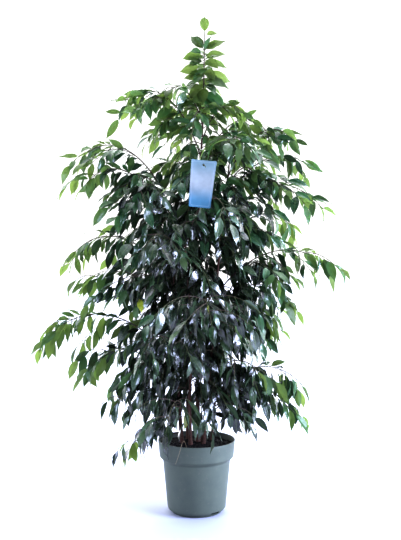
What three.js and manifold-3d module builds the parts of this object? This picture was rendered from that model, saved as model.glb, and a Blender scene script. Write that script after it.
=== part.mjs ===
// A weeping fig in its nursery pot: six rooted stems in potting soil, the leafy branches that they carry,
// and the plain card that hangs on one of them. Millimetres, +Z up, the origin at the middle of the pot's
// underside, and -Y towards the viewer.
import * as THREE from "three";
import { mergeVertices } from "three/addons/utils/BufferGeometryUtils.js";
import Module from "manifold-3d";

const wasm = await Module();
wasm.setup();
const { Manifold, Mesh } = wasm;

// The gap that is left where one piece is seated on another.
const SEAT_GAP = 0.3;

// The moulded pot. Radii are those of its outer face.
const POT = {
  height: 220,
  rimRadius: 120,
  collarFoot: { radius: 115, z: 170 },
  bodyTop: { radius: 104.5, z: 159 },
  bodyFoot: { radius: 90.2, z: 13 },
  corner: { radius: 86, z: 7 },
  footRing: { outer: 79, inner: 74, height: 6 },
  centrePad: 22,
  floorLift: 3.5,
  floorTop: 6,
  wall: 2.4,
  rimWall: 3,
  sides: 26,
  slots: { count: 3, azimuth: -50, width: 30, height: 6, z: 7 },
  drains: { count: 6, circle: 50, radius: 6, azimuth: 20, sides: 6 },
};

// The potting soil: a plug that fills the pot to a little below its rim and heaps up round the stems.
const SOIL = { top: 203, heap: 9, lumps: 2.4, lumpSeed: 77, holeDepth: 70 };

// The stems. Each stands on the soil at foot and leans to top, and its middle sways off the straight line.
// All but the leader end in a short stub above their last branch, which goes on in their place.
const STEMS = [
  { name: "stem_leader", foot: [2, 6], top: [21, -4, 1262], radius: [7.5, 2.6], sway: 12, turn: 60 },
  { name: "stem_left", foot: [-46, -8], top: [-92, -20, 972], radius: [6, 2.4], sway: 10, turn: 150 },
  { name: "stem_right", foot: [20, -22], top: [100, -8, 1056], radius: [6, 2.4], sway: 10, turn: 300 },
  { name: "stem_front", foot: [-18, -34], top: [-34, -100, 830], radius: [5.2, 2.4], sway: 8, turn: 220 },
  { name: "stem_back", foot: [-28, 34], top: [-14, 110, 942], radius: [5.2, 2.4], sway: 8, turn: 100 },
  { name: "stem_slim", foot: [46, 14], top: [106, 58, 712], radius: [3.8, 2.2], sway: 8, turn: 20 },
];
const STEM = { sides: 6, steps: 8, stub: 8, collar: 12, rootShare: 0.8 };

// The branches that draw the plant's outline: the stem, the height at which it leaves it, the end of its
// wood, the height of its arch, and the share of it that is bare of leaves. The card hangs on the first.
const OUTLINE_BRANCHES = [
  ["stem_leader", 932, [25, -285, 1027], 1033, 0.55],
  ["stem_leader", 1095, [-198, -30, 1268], 1282, 0.3],
  ["stem_leader", 1195, [-84, -45, 1290], 1300, 0.3],
  ["stem_left", 955, [-350, 20, 1106], 1124, 0.2],
  ["stem_left", 885, [-330, -90, 1004], 1046, 0.2],
  ["stem_left", 820, [-176, -170, 950], 992, 0.2],
  ["stem_left", 690, [-378, -30, 795], 846, 0.2],
  ["stem_left", 600, [-346, 60, 690], 738, 0.3],
  ["stem_left", 450, [-472, -40, 516], 612, 0.3],
  ["stem_left", 365, [-346, 50, 442], 496, 0.4],
  ["stem_left", 300, [-250, -60, 330], 388, 0.45],
  ["stem_left", 236, [-218, 10, 178], 242, 0.5],
  ["stem_leader", 1140, [135, -20, 1236], 1250, 0.3],
  ["stem_leader", 1040, [215, 30, 1190], 1208, 0.25],
  ["stem_right", 1030, [292, -40, 1146], 1170, 0.2],
  ["stem_right", 945, [352, 30, 1072], 1096, 0.2],
  ["stem_right", 870, [345, -70, 962], 1002, 0.2],
  ["stem_right", 795, [304, 60, 890], 920, 0.2],
  ["stem_right", 665, [404, -10, 752], 806, 0.25],
  ["stem_right", 570, [266, -60, 650], 700, 0.2],
  ["stem_right", 495, [222, 70, 572], 612, 0.2],
  ["stem_right", 345, [320, -20, 396], 448, 0.35],
  ["stem_right", 290, [278, 75, 322], 374, 0.4],
  ["stem_right", 256, [145, -70, 296], 342, 0.5],
];

// The branches that fill the crown between them are set by rule: at even heights, each turned by the golden
// angle from the one before, and as long as the crown is deep there.
const FILL = {
  count: 26,
  lowest: 350,
  highest: 1300,
  goldenAngle: 137.508,
  firstAzimuth: 262,
  jitter: 16,
  climb: [0.34, 0.52],
  droop: [0.45, 0.75],
  shortest: 90,
  stemAbove: 12,
  bareShare: 0.18,
  seed: 4021,
};
// How far the wood of these reaches at each height: to the left and right, and to the front and back.
const CROWN = [
  { z: 250, wide: 150, deep: 210 },
  { z: 400, wide: 200, deep: 310 },
  { z: 600, wide: 225, deep: 370 },
  { z: 800, wide: 240, deep: 385 },
  { z: 1000, wide: 220, deep: 330 },
  { z: 1150, wide: 150, deep: 230 },
  { z: 1320, wide: 75, deep: 100 },
];

// The two bends of a branch: the share of its way out, and how high it stands there, as a share of its rise
// and of its tip's height.
const ARCH = { climb: { out: 0.25, rise: 0.95 }, crest: { out: 0.7, rise: 1.55, end: -0.25 } };

// Twigs. A branch is turned about its stem and shifted up or down it, a step at a time, until it is clear
// of the wood before it.
const TWIG = {
  rootRadius: 2.7,
  tipRadius: 1.1,
  sideRadius: 1.2,
  sides: 3,
  steps: 5,
  sideSteps: 2,
  sampleGap: 6,
  clearance: 3.5,
  turnStep: 5,
  turnTries: 19,
  shifts: [0, 10, -10, 20, -20, 30],
  stemReach: 50,
  sideGap: 38,
  sideSpread: 52,
  sideReach: [0.56, 0.22],
  sideLift: [-0.3, 0.32],
  sideDroop: 0.42,
  sideBare: 0.12,
  keepEvery: 2,
};

// Leaves. Each blade is arched, its sides a little raised, and it hangs from a short stalk, more steeply
// near the pot than near the top.
const LEAF = {
  length: 64,
  width: 0.43,
  stalk: 8,
  gap: 18,
  footThickness: 0.9,
  midribDepth: 0.7,
  midribAt: 0.5,
  widestAt: 0.34,
  shoulderAt: 0.7,
  shoulder: 0.74,
  fold: 8,
  spread: 38,
  low: { z: 400, pitch: [34, 86] },
  high: { z: 1250, pitch: [-12, 58] },
  bend: [14, 44],
  roll: 60,
  sizes: [0.74, 1.22],
  clearance: 0.5,
  keepMain: 5,
  keepSide: 3,
};

// The faces of a blade's solid: its upper side, its underside round the midrib, and its foot.
const BLADE_FACES = [
  [0, 5, 1],
  [1, 5, 4],
  [1, 4, 2],
  [2, 4, 3],
  [7, 1, 6],
  [1, 2, 6],
  [2, 3, 6],
  [3, 4, 6],
  [4, 5, 6],
  [5, 7, 6],
  [0, 1, 7],
  [0, 7, 5],
];

// The leafy top of the leader, and its leaves: the height, azimuth, rise above level and length of each.
const TOP_SHOOT = {
  top: [25, -2, 1484],
  radius: [2.5, 1.1],
  sides: 5,
  steps: 4,
  roll: 54,
  rollSwing: 14,
  bend: 24,
  leafWidth: 0.56,
};
const TOP_LEAVES = [
  [1482, 100, 84, 56],
  [1476, 12, 22, 38],
  [1430, 172, 52, 62],
  [1430, -8, 30, 68],
  [1424, 222, 58, 52],
  [1424, 300, 60, 50],
  [1412, 80, 34, 64],
  [1414, 188, -4, 64],
  [1406, 152, 4, 54],
  [1402, 8, 24, 70],
  [1398, 176, -10, 50],
  [1400, -50, -26, 62],
  [1388, 12, 4, 72],
  [1388, 100, 16, 70],
  [1376, 258, -20, 62],
  [1370, 186, 0, 72],
  [1372, 302, -34, 62],
  [1364, 232, -38, 60],
  [1366, 206, -24, 58],
  [1352, 4, -6, 84],
  [1346, 90, -6, 74],
  [1338, -10, -14, 80],
  [1336, 176, -12, 66],
  [1334, -32, -10, 78],
  [1328, 216, -38, 72],
  [1324, 30, -14, 82],
  [1322, -62, -24, 74],
  [1316, 262, -48, 74],
  [1310, 110, -20, 80],
  [1302, 200, -30, 84],
  [1302, -20, -32, 84],
  [1294, 60, -26, 80],
  [1290, 160, -24, 86],
  [1284, -50, -40, 80],
];

// The plain card. It hangs at one of the steps in the wood of the first branch, and no leaf grows in the
// space round it, or before it.
const CARD = {
  topWidth: 72,
  footWidth: 61,
  height: 133,
  corner: 3,
  thickness: 0.8,
  holeDrop: 13.5,
  holeRadius: 3.2,
  holeSides: 10,
  hookStep: 4,
  tilt: 5.7,
  clear: { side: 46, behind: 16, above: 24, below: 140 },
};

const LOOKS = {
  pot: { color: 0x5f7278, roughness: 0.5, metalness: 0 },
  soil: { color: 0x1d1815, roughness: 0.95, metalness: 0 },
  stem: { color: 0x5a3f35, roughness: 0.75, metalness: 0 },
  youngLeaf: { color: 0x5c8a3c, roughness: 0.4, metalness: 0 },
  outerLeaf: { color: 0x3f6a2a, roughness: 0.35, metalness: 0 },
  innerLeaf: { color: 0x2c4a34, roughness: 0.35, metalness: 0 },
  card: { color: 0x86aed0, roughness: 0.4, metalness: 0 },
};

const LEADER = STEMS[0];
const UP = new THREE.Vector3(0, 0, 1);
const { degToRad: radians, lerp: mix, clamp } = THREE.MathUtils;
const level = (angle) => new THREE.Vector3(Math.cos(angle), Math.sin(angle), 0);

// A repeatable stream of numbers from 0 to 1.
function drawsFrom(seed) {
  let state = seed;
  return () => {
    state = (state * 16807) % 2147483647;
    return state / 2147483647;
  };
}

// A copy of a geometry whose faces share their corners, which are rounded to a thousandth of a millimetre.
function merged(geometry) {
  const bare = geometry.clone();
  bare.deleteAttribute("normal");
  bare.deleteAttribute("uv");
  return mergeVertices(bare, 1e-3);
}

function solidOf(geometry) {
  const shared = merged(geometry);
  return new Manifold(
    new Mesh({
      numProp: 3,
      vertProperties: new Float32Array(shared.attributes.position.array),
      triVerts: new Uint32Array(shared.index.array),
    }),
  );
}

function geometryOf(solid) {
  const mesh = solid.getMesh();
  const geometry = new THREE.BufferGeometry();
  geometry.setAttribute("position", new THREE.BufferAttribute(new Float32Array(mesh.vertProperties), 3));
  geometry.setIndex(new THREE.BufferAttribute(new Uint32Array(mesh.triVerts), 1));
  geometry.computeVertexNormals();
  return geometry;
}

// The largest body of a solid once its corners are rounded, because a cut can leave a loose scrap, and a
// leaf may only graze its twig.
function largestBody(solid) {
  const bodies = solidOf(geometryOf(solid)).decompose();
  return bodies.reduce((best, body) => (body.volume() > best.volume() ? body : best));
}

// A closed solid from points and the triangles between them.
function solidFromFaces(points, faces) {
  const geometry = new THREE.BufferGeometry().setFromPoints(points);
  geometry.setIndex(faces.flat());
  return solidOf(geometry);
}

// A bar through points, with a radius at each, closed at both ends.
function taperedBar(points, radii, sides) {
  const last = points.length - 1;
  const corners = [];
  const across = new THREE.Vector3(1, 0, 0);
  points.forEach((point, i) => {
    const along = points[Math.min(i + 1, last)].clone().sub(points[Math.max(i - 1, 0)]).normalize();
    if (i === 0 && Math.abs(along.z) < 0.9) {
      across.copy(UP);
    }
    across.addScaledVector(along, -across.dot(along)).normalize();
    const other = new THREE.Vector3().crossVectors(along, across);
    for (let s = 0; s < sides; s += 1) {
      const angle = (2 * Math.PI * s) / sides;
      const corner = point.clone().addScaledVector(across, Math.cos(angle) * radii[i]);
      corners.push(corner.addScaledVector(other, Math.sin(angle) * radii[i]));
    }
  });
  const faces = [];
  for (let i = 0; i < last; i += 1) {
    for (let s = 0; s < sides; s += 1) {
      const a = i * sides + s;
      const b = i * sides + ((s + 1) % sides);
      faces.push([a, b, b + sides], [a, b + sides, a + sides]);
    }
  }
  for (let s = 1; s < sides - 1; s += 1) {
    faces.push([0, s + 1, s], [last * sides, last * sides + s, last * sides + s + 1]);
  }
  return solidFromFaces(corners, faces);
}

// The pot's outer face, from the middle of its underside up to its rim.
function potOuterProfile() {
  const { footRing, corner, bodyFoot, bodyTop, collarFoot } = POT;
  return [
    [0, 0],
    [POT.centrePad, 0],
    [POT.centrePad + 2, POT.floorLift],
    [footRing.inner - 1, POT.floorLift],
    [footRing.inner, 0],
    [footRing.outer, 0],
    [footRing.outer + 1, footRing.height],
    [corner.radius, corner.z],
    [bodyFoot.radius, bodyFoot.z],
    [bodyTop.radius, bodyTop.z],
    [collarFoot.radius, collarFoot.z],
    [POT.rimRadius, POT.height - 1],
    [POT.rimRadius - 1, POT.height],
  ];
}

// Its inner face, from the rim down to the middle of its floor, set in by a gap for what fills it.
function potInnerProfile(gap) {
  const { corner, bodyFoot, bodyTop, collarFoot, wall } = POT;
  return [
    [POT.rimRadius - POT.rimWall - gap, POT.height],
    [collarFoot.radius - wall - gap, collarFoot.z + 1],
    [bodyTop.radius - wall - gap, bodyTop.z + 1],
    [bodyFoot.radius - wall - gap, bodyFoot.z + 2],
    [corner.radius - 3 - gap, corner.z + 2.4 + gap],
    [corner.radius - 10 - gap, POT.floorTop + gap],
    [0, POT.floorTop + gap],
  ];
}

function lathe(profile) {
  const points = profile.map(([radius, z]) => new THREE.Vector2(radius, z));
  return new THREE.LatheGeometry(points, POT.sides).rotateX(Math.PI / 2);
}

// Slots through the foot of the wall, and round drains through the floor.
function potCutters() {
  const cutters = [];
  for (let i = 0; i < POT.slots.count; i += 1) {
    const { width, height, z, azimuth, count } = POT.slots;
    const box = new THREE.BoxGeometry(30, width, height);
    box.translate(POT.corner.radius + 3, 0, z + height / 2);
    box.rotateZ(radians(azimuth + (360 * i) / count));
    cutters.push(solidOf(box));
  }
  for (let i = 0; i < POT.drains.count; i += 1) {
    const { radius, circle, azimuth, count } = POT.drains;
    const drain = new THREE.CylinderGeometry(radius, radius, 20, POT.drains.sides);
    drain.rotateX(Math.PI / 2);
    drain.translate(circle, 0, 0);
    drain.rotateZ(radians(azimuth + (360 * i) / count));
    cutters.push(solidOf(drain));
  }
  return Manifold.union(cutters);
}

function potSolid() {
  const body = solidOf(lathe([...potOuterProfile(), ...potInnerProfile(0)]));
  return body.subtract(potCutters());
}

// The soil is turned from the pot's inner face, its top made lumpy, and the stems' holes cut in it.
function soilSolid(stemHoles) {
  const inner = potInnerProfile(SEAT_GAP);
  const share = (SOIL.top - inner[1][1]) / (inner[0][1] - inner[1][1]);
  const edge = mix(inner[1][0], inner[0][0], share);
  const top = [
    [edge, SOIL.top],
    [edge * 0.6, SOIL.top + SOIL.heap * 0.6],
    [0, SOIL.top + SOIL.heap],
  ];
  const geometry = merged(lathe([...inner.slice(1).reverse(), ...top]));
  const position = geometry.attributes.position;
  const draw = drawsFrom(SOIL.lumpSeed);
  for (let i = 0; i < position.count; i += 1) {
    if (position.getZ(i) > SOIL.top + 1) {
      position.setZ(i, position.getZ(i) + SOIL.lumps * (2 * draw() - 1));
    }
  }
  return solidOf(geometry).subtract(stemHoles);
}

// The middle line of a stem at a height, and its radius there.
function stemAt(stem, z) {
  const share = clamp((z - SOIL.top) / (stem.top[2] - SOIL.top), 0, 1);
  const lean = share ** 1.4;
  const swing = stem.sway * Math.sin(Math.PI * share);
  const turn = radians(stem.turn + 200 * share);
  return {
    point: new THREE.Vector3(
      mix(stem.foot[0], stem.top[0], lean) + swing * Math.cos(turn),
      mix(stem.foot[1], stem.top[1], lean) + swing * Math.sin(turn),
      z,
    ),
    radius: mix(stem.radius[0], stem.radius[1], share ** 0.85),
  };
}

function stemEnd(stem, branches) {
  const roots = branches.filter((branch) => branch.stem === stem).map((branch) => branch.curve.v0.z);
  return stem === LEADER ? stem.top[2] : Math.max(...roots) + STEM.stub;
}

// A stem from the bottom of its hole to its end, thicker all over by a margin.
function stemSolid(stem, end, margin) {
  const foot = stemAt(stem, SOIL.top).point.setZ(SOIL.top - SOIL.holeDepth - margin);
  const points = [foot];
  const radii = [stem.radius[0] + margin * 1.2];
  for (let i = 0; i < STEM.steps; i += 1) {
    const at = stemAt(stem, mix(SOIL.top + STEM.collar, end, i / (STEM.steps - 1)));
    points.push(at.point);
    radii.push(at.radius + margin * 1.2);
  }
  points[STEM.steps].z += margin;
  return taperedBar(points, radii, STEM.sides);
}

// How far the crown reaches at a height in one direction.
function crownReach(z, azimuth) {
  let i = 0;
  while (i < CROWN.length - 2 && z > CROWN[i + 1].z) {
    i += 1;
  }
  const share = clamp((z - CROWN[i].z) / (CROWN[i + 1].z - CROWN[i].z), 0, 1);
  const wide = mix(CROWN[i].wide, CROWN[i + 1].wide, share);
  const deep = mix(CROWN[i].deep, CROWN[i + 1].deep, share);
  return (wide * deep) / Math.hypot(deep * Math.cos(azimuth), wide * Math.sin(azimuth));
}

function outlineBranch([stemName, z, tip, arch, bare], i) {
  const stem = STEMS.find((candidate) => candidate.name === stemName);
  return { stem, z, tip: new THREE.Vector3(...tip), arch, bare, seed: 101 + 37 * i, look: LOOKS.outerLeaf };
}

// A fill branch grows from the stem that leans furthest its way, of those that are tall enough.
function fillBranch(i, draw) {
  const height = mix(FILL.lowest, FILL.highest, (i + 0.5) / FILL.count);
  const azimuth = radians(FILL.firstAzimuth + i * FILL.goldenAngle + FILL.jitter * (draw() - 0.5));
  const facing = level(azimuth);
  const reach = crownReach(height, azimuth);
  const climb = reach * mix(...FILL.climb, draw());
  const root = height - climb;
  const able = STEMS.filter((stem) => stem.top[2] > root + FILL.stemAbove);
  const lean = (stem) => stemAt(stem, root).point.dot(facing);
  const stem = able.reduce((best, candidate) => (lean(candidate) > lean(best) ? candidate : best));
  const start = stemAt(stem, root).point;
  const tip = start.clone().addScaledVector(facing, Math.max(reach - start.dot(facing), FILL.shortest));
  tip.z = root + climb * mix(...FILL.droop, draw());
  const seed = 2003 + 41 * i;
  return { stem, z: root, tip, arch: height, bare: FILL.bareShare, seed, look: LOOKS.innerLeaf };
}

function branchPlan() {
  const draw = drawsFrom(FILL.seed);
  const plan = OUTLINE_BRANCHES.map(outlineBranch);
  for (let i = 0; i < FILL.count; i += 1) {
    plan.push(fillBranch(i, draw));
  }
  return plan;
}

// The middle line of a branch, turned about its stem: it climbs, arches over and droops to its tip.
function branchCurve(branch, turn, shift) {
  const root = stemAt(branch.stem, branch.z + shift).point;
  const out = branch.tip.clone().sub(root).setZ(0).applyAxisAngle(UP, turn);
  const rise = branch.arch - root.z;
  const end = branch.tip.z - root.z;
  const place = (share, height) => root.clone().addScaledVector(out, share).setZ(root.z + height);
  return new THREE.CubicBezierCurve3(
    root,
    place(ARCH.climb.out, rise * ARCH.climb.rise),
    place(ARCH.crest.out, rise * ARCH.crest.rise + end * ARCH.crest.end),
    place(1, end),
  );
}

function pointsAlong(curve, gap) {
  return curve.getPoints(Math.max(2, Math.ceil(curve.getLength() / gap)));
}

// Whether a twig's points keep clear of the wood, which is a list of points with their radii.
function isClear(points, radius, wood, clearance) {
  return wood.every((other) => {
    const least = (radius + other.radius + clearance) ** 2;
    return points.every((point) => point.distanceToSquared(other.point) >= least);
  });
}

function stemWood(stem) {
  const wood = [];
  for (let z = SOIL.top; z < stem.top[2]; z += TWIG.sampleGap) {
    wood.push({ ...stemAt(stem, z), stem });
  }
  return wood;
}

// The places to try for a branch: its own first, then ever further to either side, at several heights.
function placesFor(branch) {
  return TWIG.shifts.flatMap((shift) =>
    Array.from({ length: TWIG.turnTries }, (_, i) => {
      const turn = radians(Math.ceil(i / 2) * TWIG.turnStep * (i % 2 ? 1 : -1));
      return branchCurve(branch, turn, shift);
    }),
  );
}

function grownWood(curve, radius) {
  return pointsAlong(curve, TWIG.sampleGap).map((point) => ({ point, radius }));
}

// Finds room for a branch among the wood, and adds it to that.
function placeBranch(branch, wood) {
  const ownStem = wood.filter((other) => other.stem === branch.stem);
  const others = wood.filter((other) => other.stem !== branch.stem);
  const curve = placesFor(branch).find((place) => {
    const points = pointsAlong(place, TWIG.sampleGap);
    const outer = points.filter((point) => point.distanceTo(place.v0) > TWIG.stemReach);
    const isApart = isClear(points, TWIG.rootRadius, others, TWIG.clearance);
    return isApart && isClear(outer, TWIG.rootRadius, ownStem, 1);
  });
  if (!curve) {
    return [];
  }
  const own = grownWood(curve, TWIG.rootRadius);
  wood.push(...own);
  return [{ ...branch, curve, own: new Set(own) }];
}

// All the branches, and then their side twigs, each where it finds room.
function growPlant() {
  const wood = STEMS.flatMap(stemWood);
  const placed = branchPlan().flatMap((branch) => placeBranch(branch, wood));
  const hook = hookOn(placed[0]);
  return placed.map((branch) => {
    const others = wood.filter((other) => !branch.own.has(other));
    const twigs = sideTwigs(branch, others, hook);
    wood.push(...twigs.flatMap((twig) => grownWood(twig.curve, TWIG.sideRadius)));
    return { ...branch, twigs };
  });
}

// Where the card hangs on its branch.
function hookOn(branch) {
  return branch.curve.getPoint(CARD.hookStep / TWIG.steps);
}

// The side twigs of a branch, to its left and right in turn, shorter towards its tip. None is at the card.
function sideTwigs(branch, wood, hook) {
  const { curve } = branch;
  const draw = drawsFrom(branch.seed);
  const length = curve.getLength();
  const count = Math.round((length * (0.96 - branch.bare)) / TWIG.sideGap);
  const twigs = [];
  for (let order = 0; order < count; order += 1) {
    const share = mix(branch.bare, 0.94, (order + 0.3 + 0.4 * draw()) / count);
    const root = curve.getPoint(share);
    const along = curve.getTangent(share);
    const spread = radians(TWIG.sideSpread + 20 * (draw() - 0.5)) * (order % 2 ? 1 : -1);
    const out = level(Math.atan2(along.y, along.x) + spread);
    const reach = length * mix(...TWIG.sideReach, share) * (0.8 + 0.4 * draw());
    const lift = mix(...TWIG.sideLift, draw());
    const middle = root.clone().addScaledVector(out, reach * 0.5).addScaledVector(UP, reach * lift);
    const tip = root.clone().addScaledVector(out, reach).addScaledVector(UP, reach * (lift - TWIG.sideDroop));
    const twig = new THREE.QuadraticBezierCurve3(root, middle, tip);
    const points = pointsAlong(twig, TWIG.sampleGap);
    const crosses = points.slice(1).some((point) => isAtCard(point, hook));
    if (!crosses && isClear(points, TWIG.sideRadius, wood, TWIG.clearance)) {
      twigs.push({ curve: twig, order });
    }
  }
  return twigs;
}

// How far below level a leaf points at a height, in the share drawn of the slopes that are usual there.
function pitchAt(z, share) {
  const { low, high } = LEAF;
  const rise = clamp((z - low.z) / (high.z - low.z), 0, 1);
  return radians(mix(mix(...low.pitch, share), mix(...high.pitch, share), rise));
}

// The leaves along a twig, to either side in turn, with one at the tip. Ranks count back from the tip.
function leavesAlong(curve, bare, draw) {
  const leaves = [];
  const count = Math.max(1, Math.floor((curve.getLength() * (1 - bare)) / LEAF.gap));
  for (let rank = 0; rank <= count; rank += 1) {
    const share = mix(1, bare, rank / count);
    const along = curve.getTangent(share);
    const side = rank === 0 ? 0 : (rank % 2) * 2 - 1;
    const heading = Math.atan2(along.y, along.x) + side * radians(LEAF.spread + 34 * (draw() - 0.5));
    const foot = curve.getPoint(share);
    leaves.push({
      rank,
      foot,
      out: level(heading),
      pitch: pitchAt(foot.z, draw()),
      roll: radians(LEAF.roll * (2 * draw() - 1)),
      size: LEAF.length * mix(...LEAF.sizes, draw()),
      width: LEAF.width,
      bend: radians(mix(...LEAF.bend, draw())),
    });
  }
  return leaves;
}

function topShootAt(share) {
  return new THREE.Vector3(...LEADER.top).lerp(new THREE.Vector3(...TOP_SHOOT.top), share);
}

function topLeaf([z, azimuth, rise, size], i) {
  const foot = topShootAt((z - LEADER.top[2]) / (TOP_SHOOT.top[2] - LEADER.top[2]));
  const out = level(radians(azimuth));
  const roll = radians(TOP_SHOOT.roll * out.x + TOP_SHOOT.rollSwing * Math.sin(2.4 * i));
  const { leafWidth, bend } = TOP_SHOOT;
  return { foot, out, pitch: radians(-rise), roll, size, width: leafWidth, bend: radians(bend) };
}

// Where a point of a leaf lies: at a distance along its arched midrib, off to one side and above it.
function leafPoint(leaf, distance, width, lift) {
  const run = Math.cos(leaf.pitch);
  const drop = Math.sin(leaf.pitch);
  const axis = leaf.out.clone().multiplyScalar(run).addScaledVector(UP, -drop);
  const face = leaf.out.clone().multiplyScalar(drop).addScaledVector(UP, run);
  face.applyAxisAngle(axis, leaf.roll);
  const across = new THREE.Vector3().crossVectors(axis, face);
  const curl = leaf.bend / (leaf.size + LEAF.stalk);
  const angle = curl * distance;
  const normal = face.clone().multiplyScalar(Math.cos(angle)).addScaledVector(axis, Math.sin(angle));
  const fold = radians(LEAF.fold);
  return leaf.foot
    .clone()
    .addScaledVector(axis, Math.sin(angle) / curl)
    .addScaledVector(face, (Math.cos(angle) - 1) / curl)
    .addScaledVector(across, width * Math.cos(fold))
    .addScaledVector(normal, Math.abs(width) * Math.sin(fold) + lift);
}

// One blade: its foot in the twig, its widest places, its shoulders and its tip, and below them the midrib.
// Its margin is sharp, and its foot is as thick as the stalk.
function leafSolid(leaf) {
  const half = (leaf.size * leaf.width) / 2;
  const widest = LEAF.stalk + LEAF.widestAt * leaf.size;
  const shoulder = LEAF.stalk + LEAF.shoulderAt * leaf.size;
  const points = [
    [0, 0, LEAF.footThickness / 2],
    [widest, -half, 0],
    [shoulder, -half * LEAF.shoulder, 0],
    [LEAF.stalk + leaf.size, 0, 0],
    [shoulder, half * LEAF.shoulder, 0],
    [widest, half, 0],
    [LEAF.stalk + LEAF.midribAt * leaf.size, 0, -LEAF.midribDepth],
    [0, 0, -LEAF.footThickness / 2],
  ].map((place) => leafPoint(leaf, ...place));
  return solidFromFaces(points, BLADE_FACES);
}

// Whether a point is in the card's place, or before it.
function isAtCard(point, hook) {
  const rise = point.z - hook.z;
  return (
    Math.abs(point.x - hook.x) < CARD.clear.side &&
    point.y < hook.y + CARD.clear.behind &&
    rise < CARD.clear.above &&
    rise > -CARD.clear.below
  );
}

// Leaves grow neither into the pot nor before the card.
function hasRoom(leaf, hook) {
  return [0.35, 0.7, 1].every((share) => {
    const point = leafPoint(leaf, share * (leaf.size + LEAF.stalk), 0, 0);
    const inPot = point.z < POT.height + 6 && Math.hypot(point.x, point.y) < POT.rimRadius + 8;
    return !inPot && !isAtCard(point, hook);
  });
}

// The card is cut from sheet, and hangs from its hole, a little tilted.
function cardSolid(hook, twigRadius) {
  const { topWidth, footWidth, height, corner, holeDrop, holeRadius } = CARD;
  const foot = holeDrop - height;
  const outline = new THREE.Shape([
    new THREE.Vector2(-footWidth / 2 + corner, foot),
    new THREE.Vector2(footWidth / 2 - corner, foot),
    new THREE.Vector2(footWidth / 2, foot + corner),
    new THREE.Vector2(topWidth / 2, holeDrop - corner),
    new THREE.Vector2(topWidth / 2 - corner, holeDrop),
    new THREE.Vector2(-topWidth / 2 + corner, holeDrop),
    new THREE.Vector2(-topWidth / 2, holeDrop - corner),
    new THREE.Vector2(-footWidth / 2, foot + corner),
  ]);
  const hole = [];
  for (let i = 0; i < CARD.holeSides; i += 1) {
    const angle = (-2 * Math.PI * (i + 0.5)) / CARD.holeSides;
    hole.push(new THREE.Vector2(Math.sin(angle) * holeRadius, Math.cos(angle) * holeRadius));
  }
  outline.holes.push(new THREE.Path(hole));
  const sheet = new THREE.ExtrudeGeometry(outline, { depth: CARD.thickness, bevelEnabled: false });
  sheet.rotateX(Math.PI / 2);
  sheet.translate(0, CARD.thickness / 2, 0);
  sheet.rotateY(radians(CARD.tilt));
  const holeFlat = holeRadius * Math.cos(Math.PI / CARD.holeSides);
  sheet.translate(hook.x, hook.y, hook.z - (holeFlat - twigRadius - SEAT_GAP));
  return solidOf(sheet);
}

function branchWood(branch, i, stemRoom) {
  const points = branch.curve.getPoints(TWIG.steps);
  const stemRadius = stemAt(branch.stem, points[0].z).radius;
  const root = Math.min(TWIG.rootRadius, STEM.rootShare * stemRadius);
  const radii = points.map((point, step) => mix(root, TWIG.tipRadius, step / TWIG.steps));
  const bars = [taperedBar(points, radii, TWIG.sides)];
  branch.twigs
    .filter((twig) => (twig.order + i) % TWIG.keepEvery === 0)
    .forEach((twig) => {
      const along = twig.curve.getPoints(TWIG.sideSteps);
      const thin = along.map((point, step) => TWIG.sideRadius * (1 - (0.25 * step) / TWIG.sideSteps));
      bars.push(taperedBar(along, thin, TWIG.sides));
    });
  return Manifold.union(bars).subtract(stemRoom);
}

// The leaves of a branch that are made as solids: some of each twig's, always with those at the tips.
function branchLeaves(branch, i) {
  const draw = drawsFrom(branch.seed + 7);
  const main = leavesAlong(branch.curve, branch.bare, draw);
  const leaves = main.filter((leaf) => leaf.rank % LEAF.keepMain === 0);
  branch.twigs.forEach((twig) => {
    const all = leavesAlong(twig.curve, TWIG.sideBare, draw);
    if ((twig.order + i) % TWIG.keepEvery === 0) {
      leaves.push(...all.filter((leaf) => leaf.rank % LEAF.keepSide === 0));
    }
  });
  return leaves;
}

// A leaf is made only where it touches no other leaf, and no wood but its own.
function addLeaves(piece, leaves, pieces, blades) {
  const others = pieces.filter((other) => other !== piece);
  const meets = (solid, other) => solid.minGap(other, LEAF.clearance * 2) < LEAF.clearance;
  leaves.forEach((leaf) => {
    const solid = leafSolid(leaf);
    if (!blades.some((other) => meets(solid, other)) && !others.some((other) => meets(solid, other.wood))) {
      blades.push(solid);
      piece.leaves.push(solid);
    }
  });
}

const branches = growPlant();
const stems = STEMS.map((stem) => {
  const end = stemEnd(stem, branches);
  return { stem, wood: stemSolid(stem, end, 0), room: stemSolid(stem, end, SEAT_GAP) };
});
const hookShare = CARD.hookStep / TWIG.steps;
const hook = hookOn(branches[0]);

const plain = [
  { name: "pot", wood: potSolid(), look: LOOKS.pot },
  { name: "soil", wood: soilSolid(Manifold.union(stems.map(({ room }) => room))), look: LOOKS.soil },
  ...stems.map(({ stem, wood }) => ({ name: stem.name, wood, look: LOOKS.stem })),
  { name: "card", wood: cardSolid(hook, mix(TWIG.rootRadius, TWIG.tipRadius, hookShare)), look: LOOKS.card },
];
const shootPoints = Array.from({ length: TOP_SHOOT.steps + 1 }, (_, i) => topShootAt(i / TOP_SHOOT.steps));
shootPoints[0].z += SEAT_GAP;
const shootRadii = shootPoints.map((point, i) => mix(...TOP_SHOOT.radius, i / TOP_SHOOT.steps));
const leafy = [
  { name: "top_shoot", wood: taperedBar(shootPoints, shootRadii, TOP_SHOOT.sides), look: LOOKS.youngLeaf },
  ...branches.map((branch, i) => ({
    name: `branch_${String(i + 1).padStart(2, "0")}`,
    wood: branchWood(branch, i, stems.find(({ stem }) => stem === branch.stem).room),
    look: branch.look,
  })),
].map((piece) => ({ ...piece, leaves: [] }));
const pieces = [...plain, ...leafy];

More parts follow.
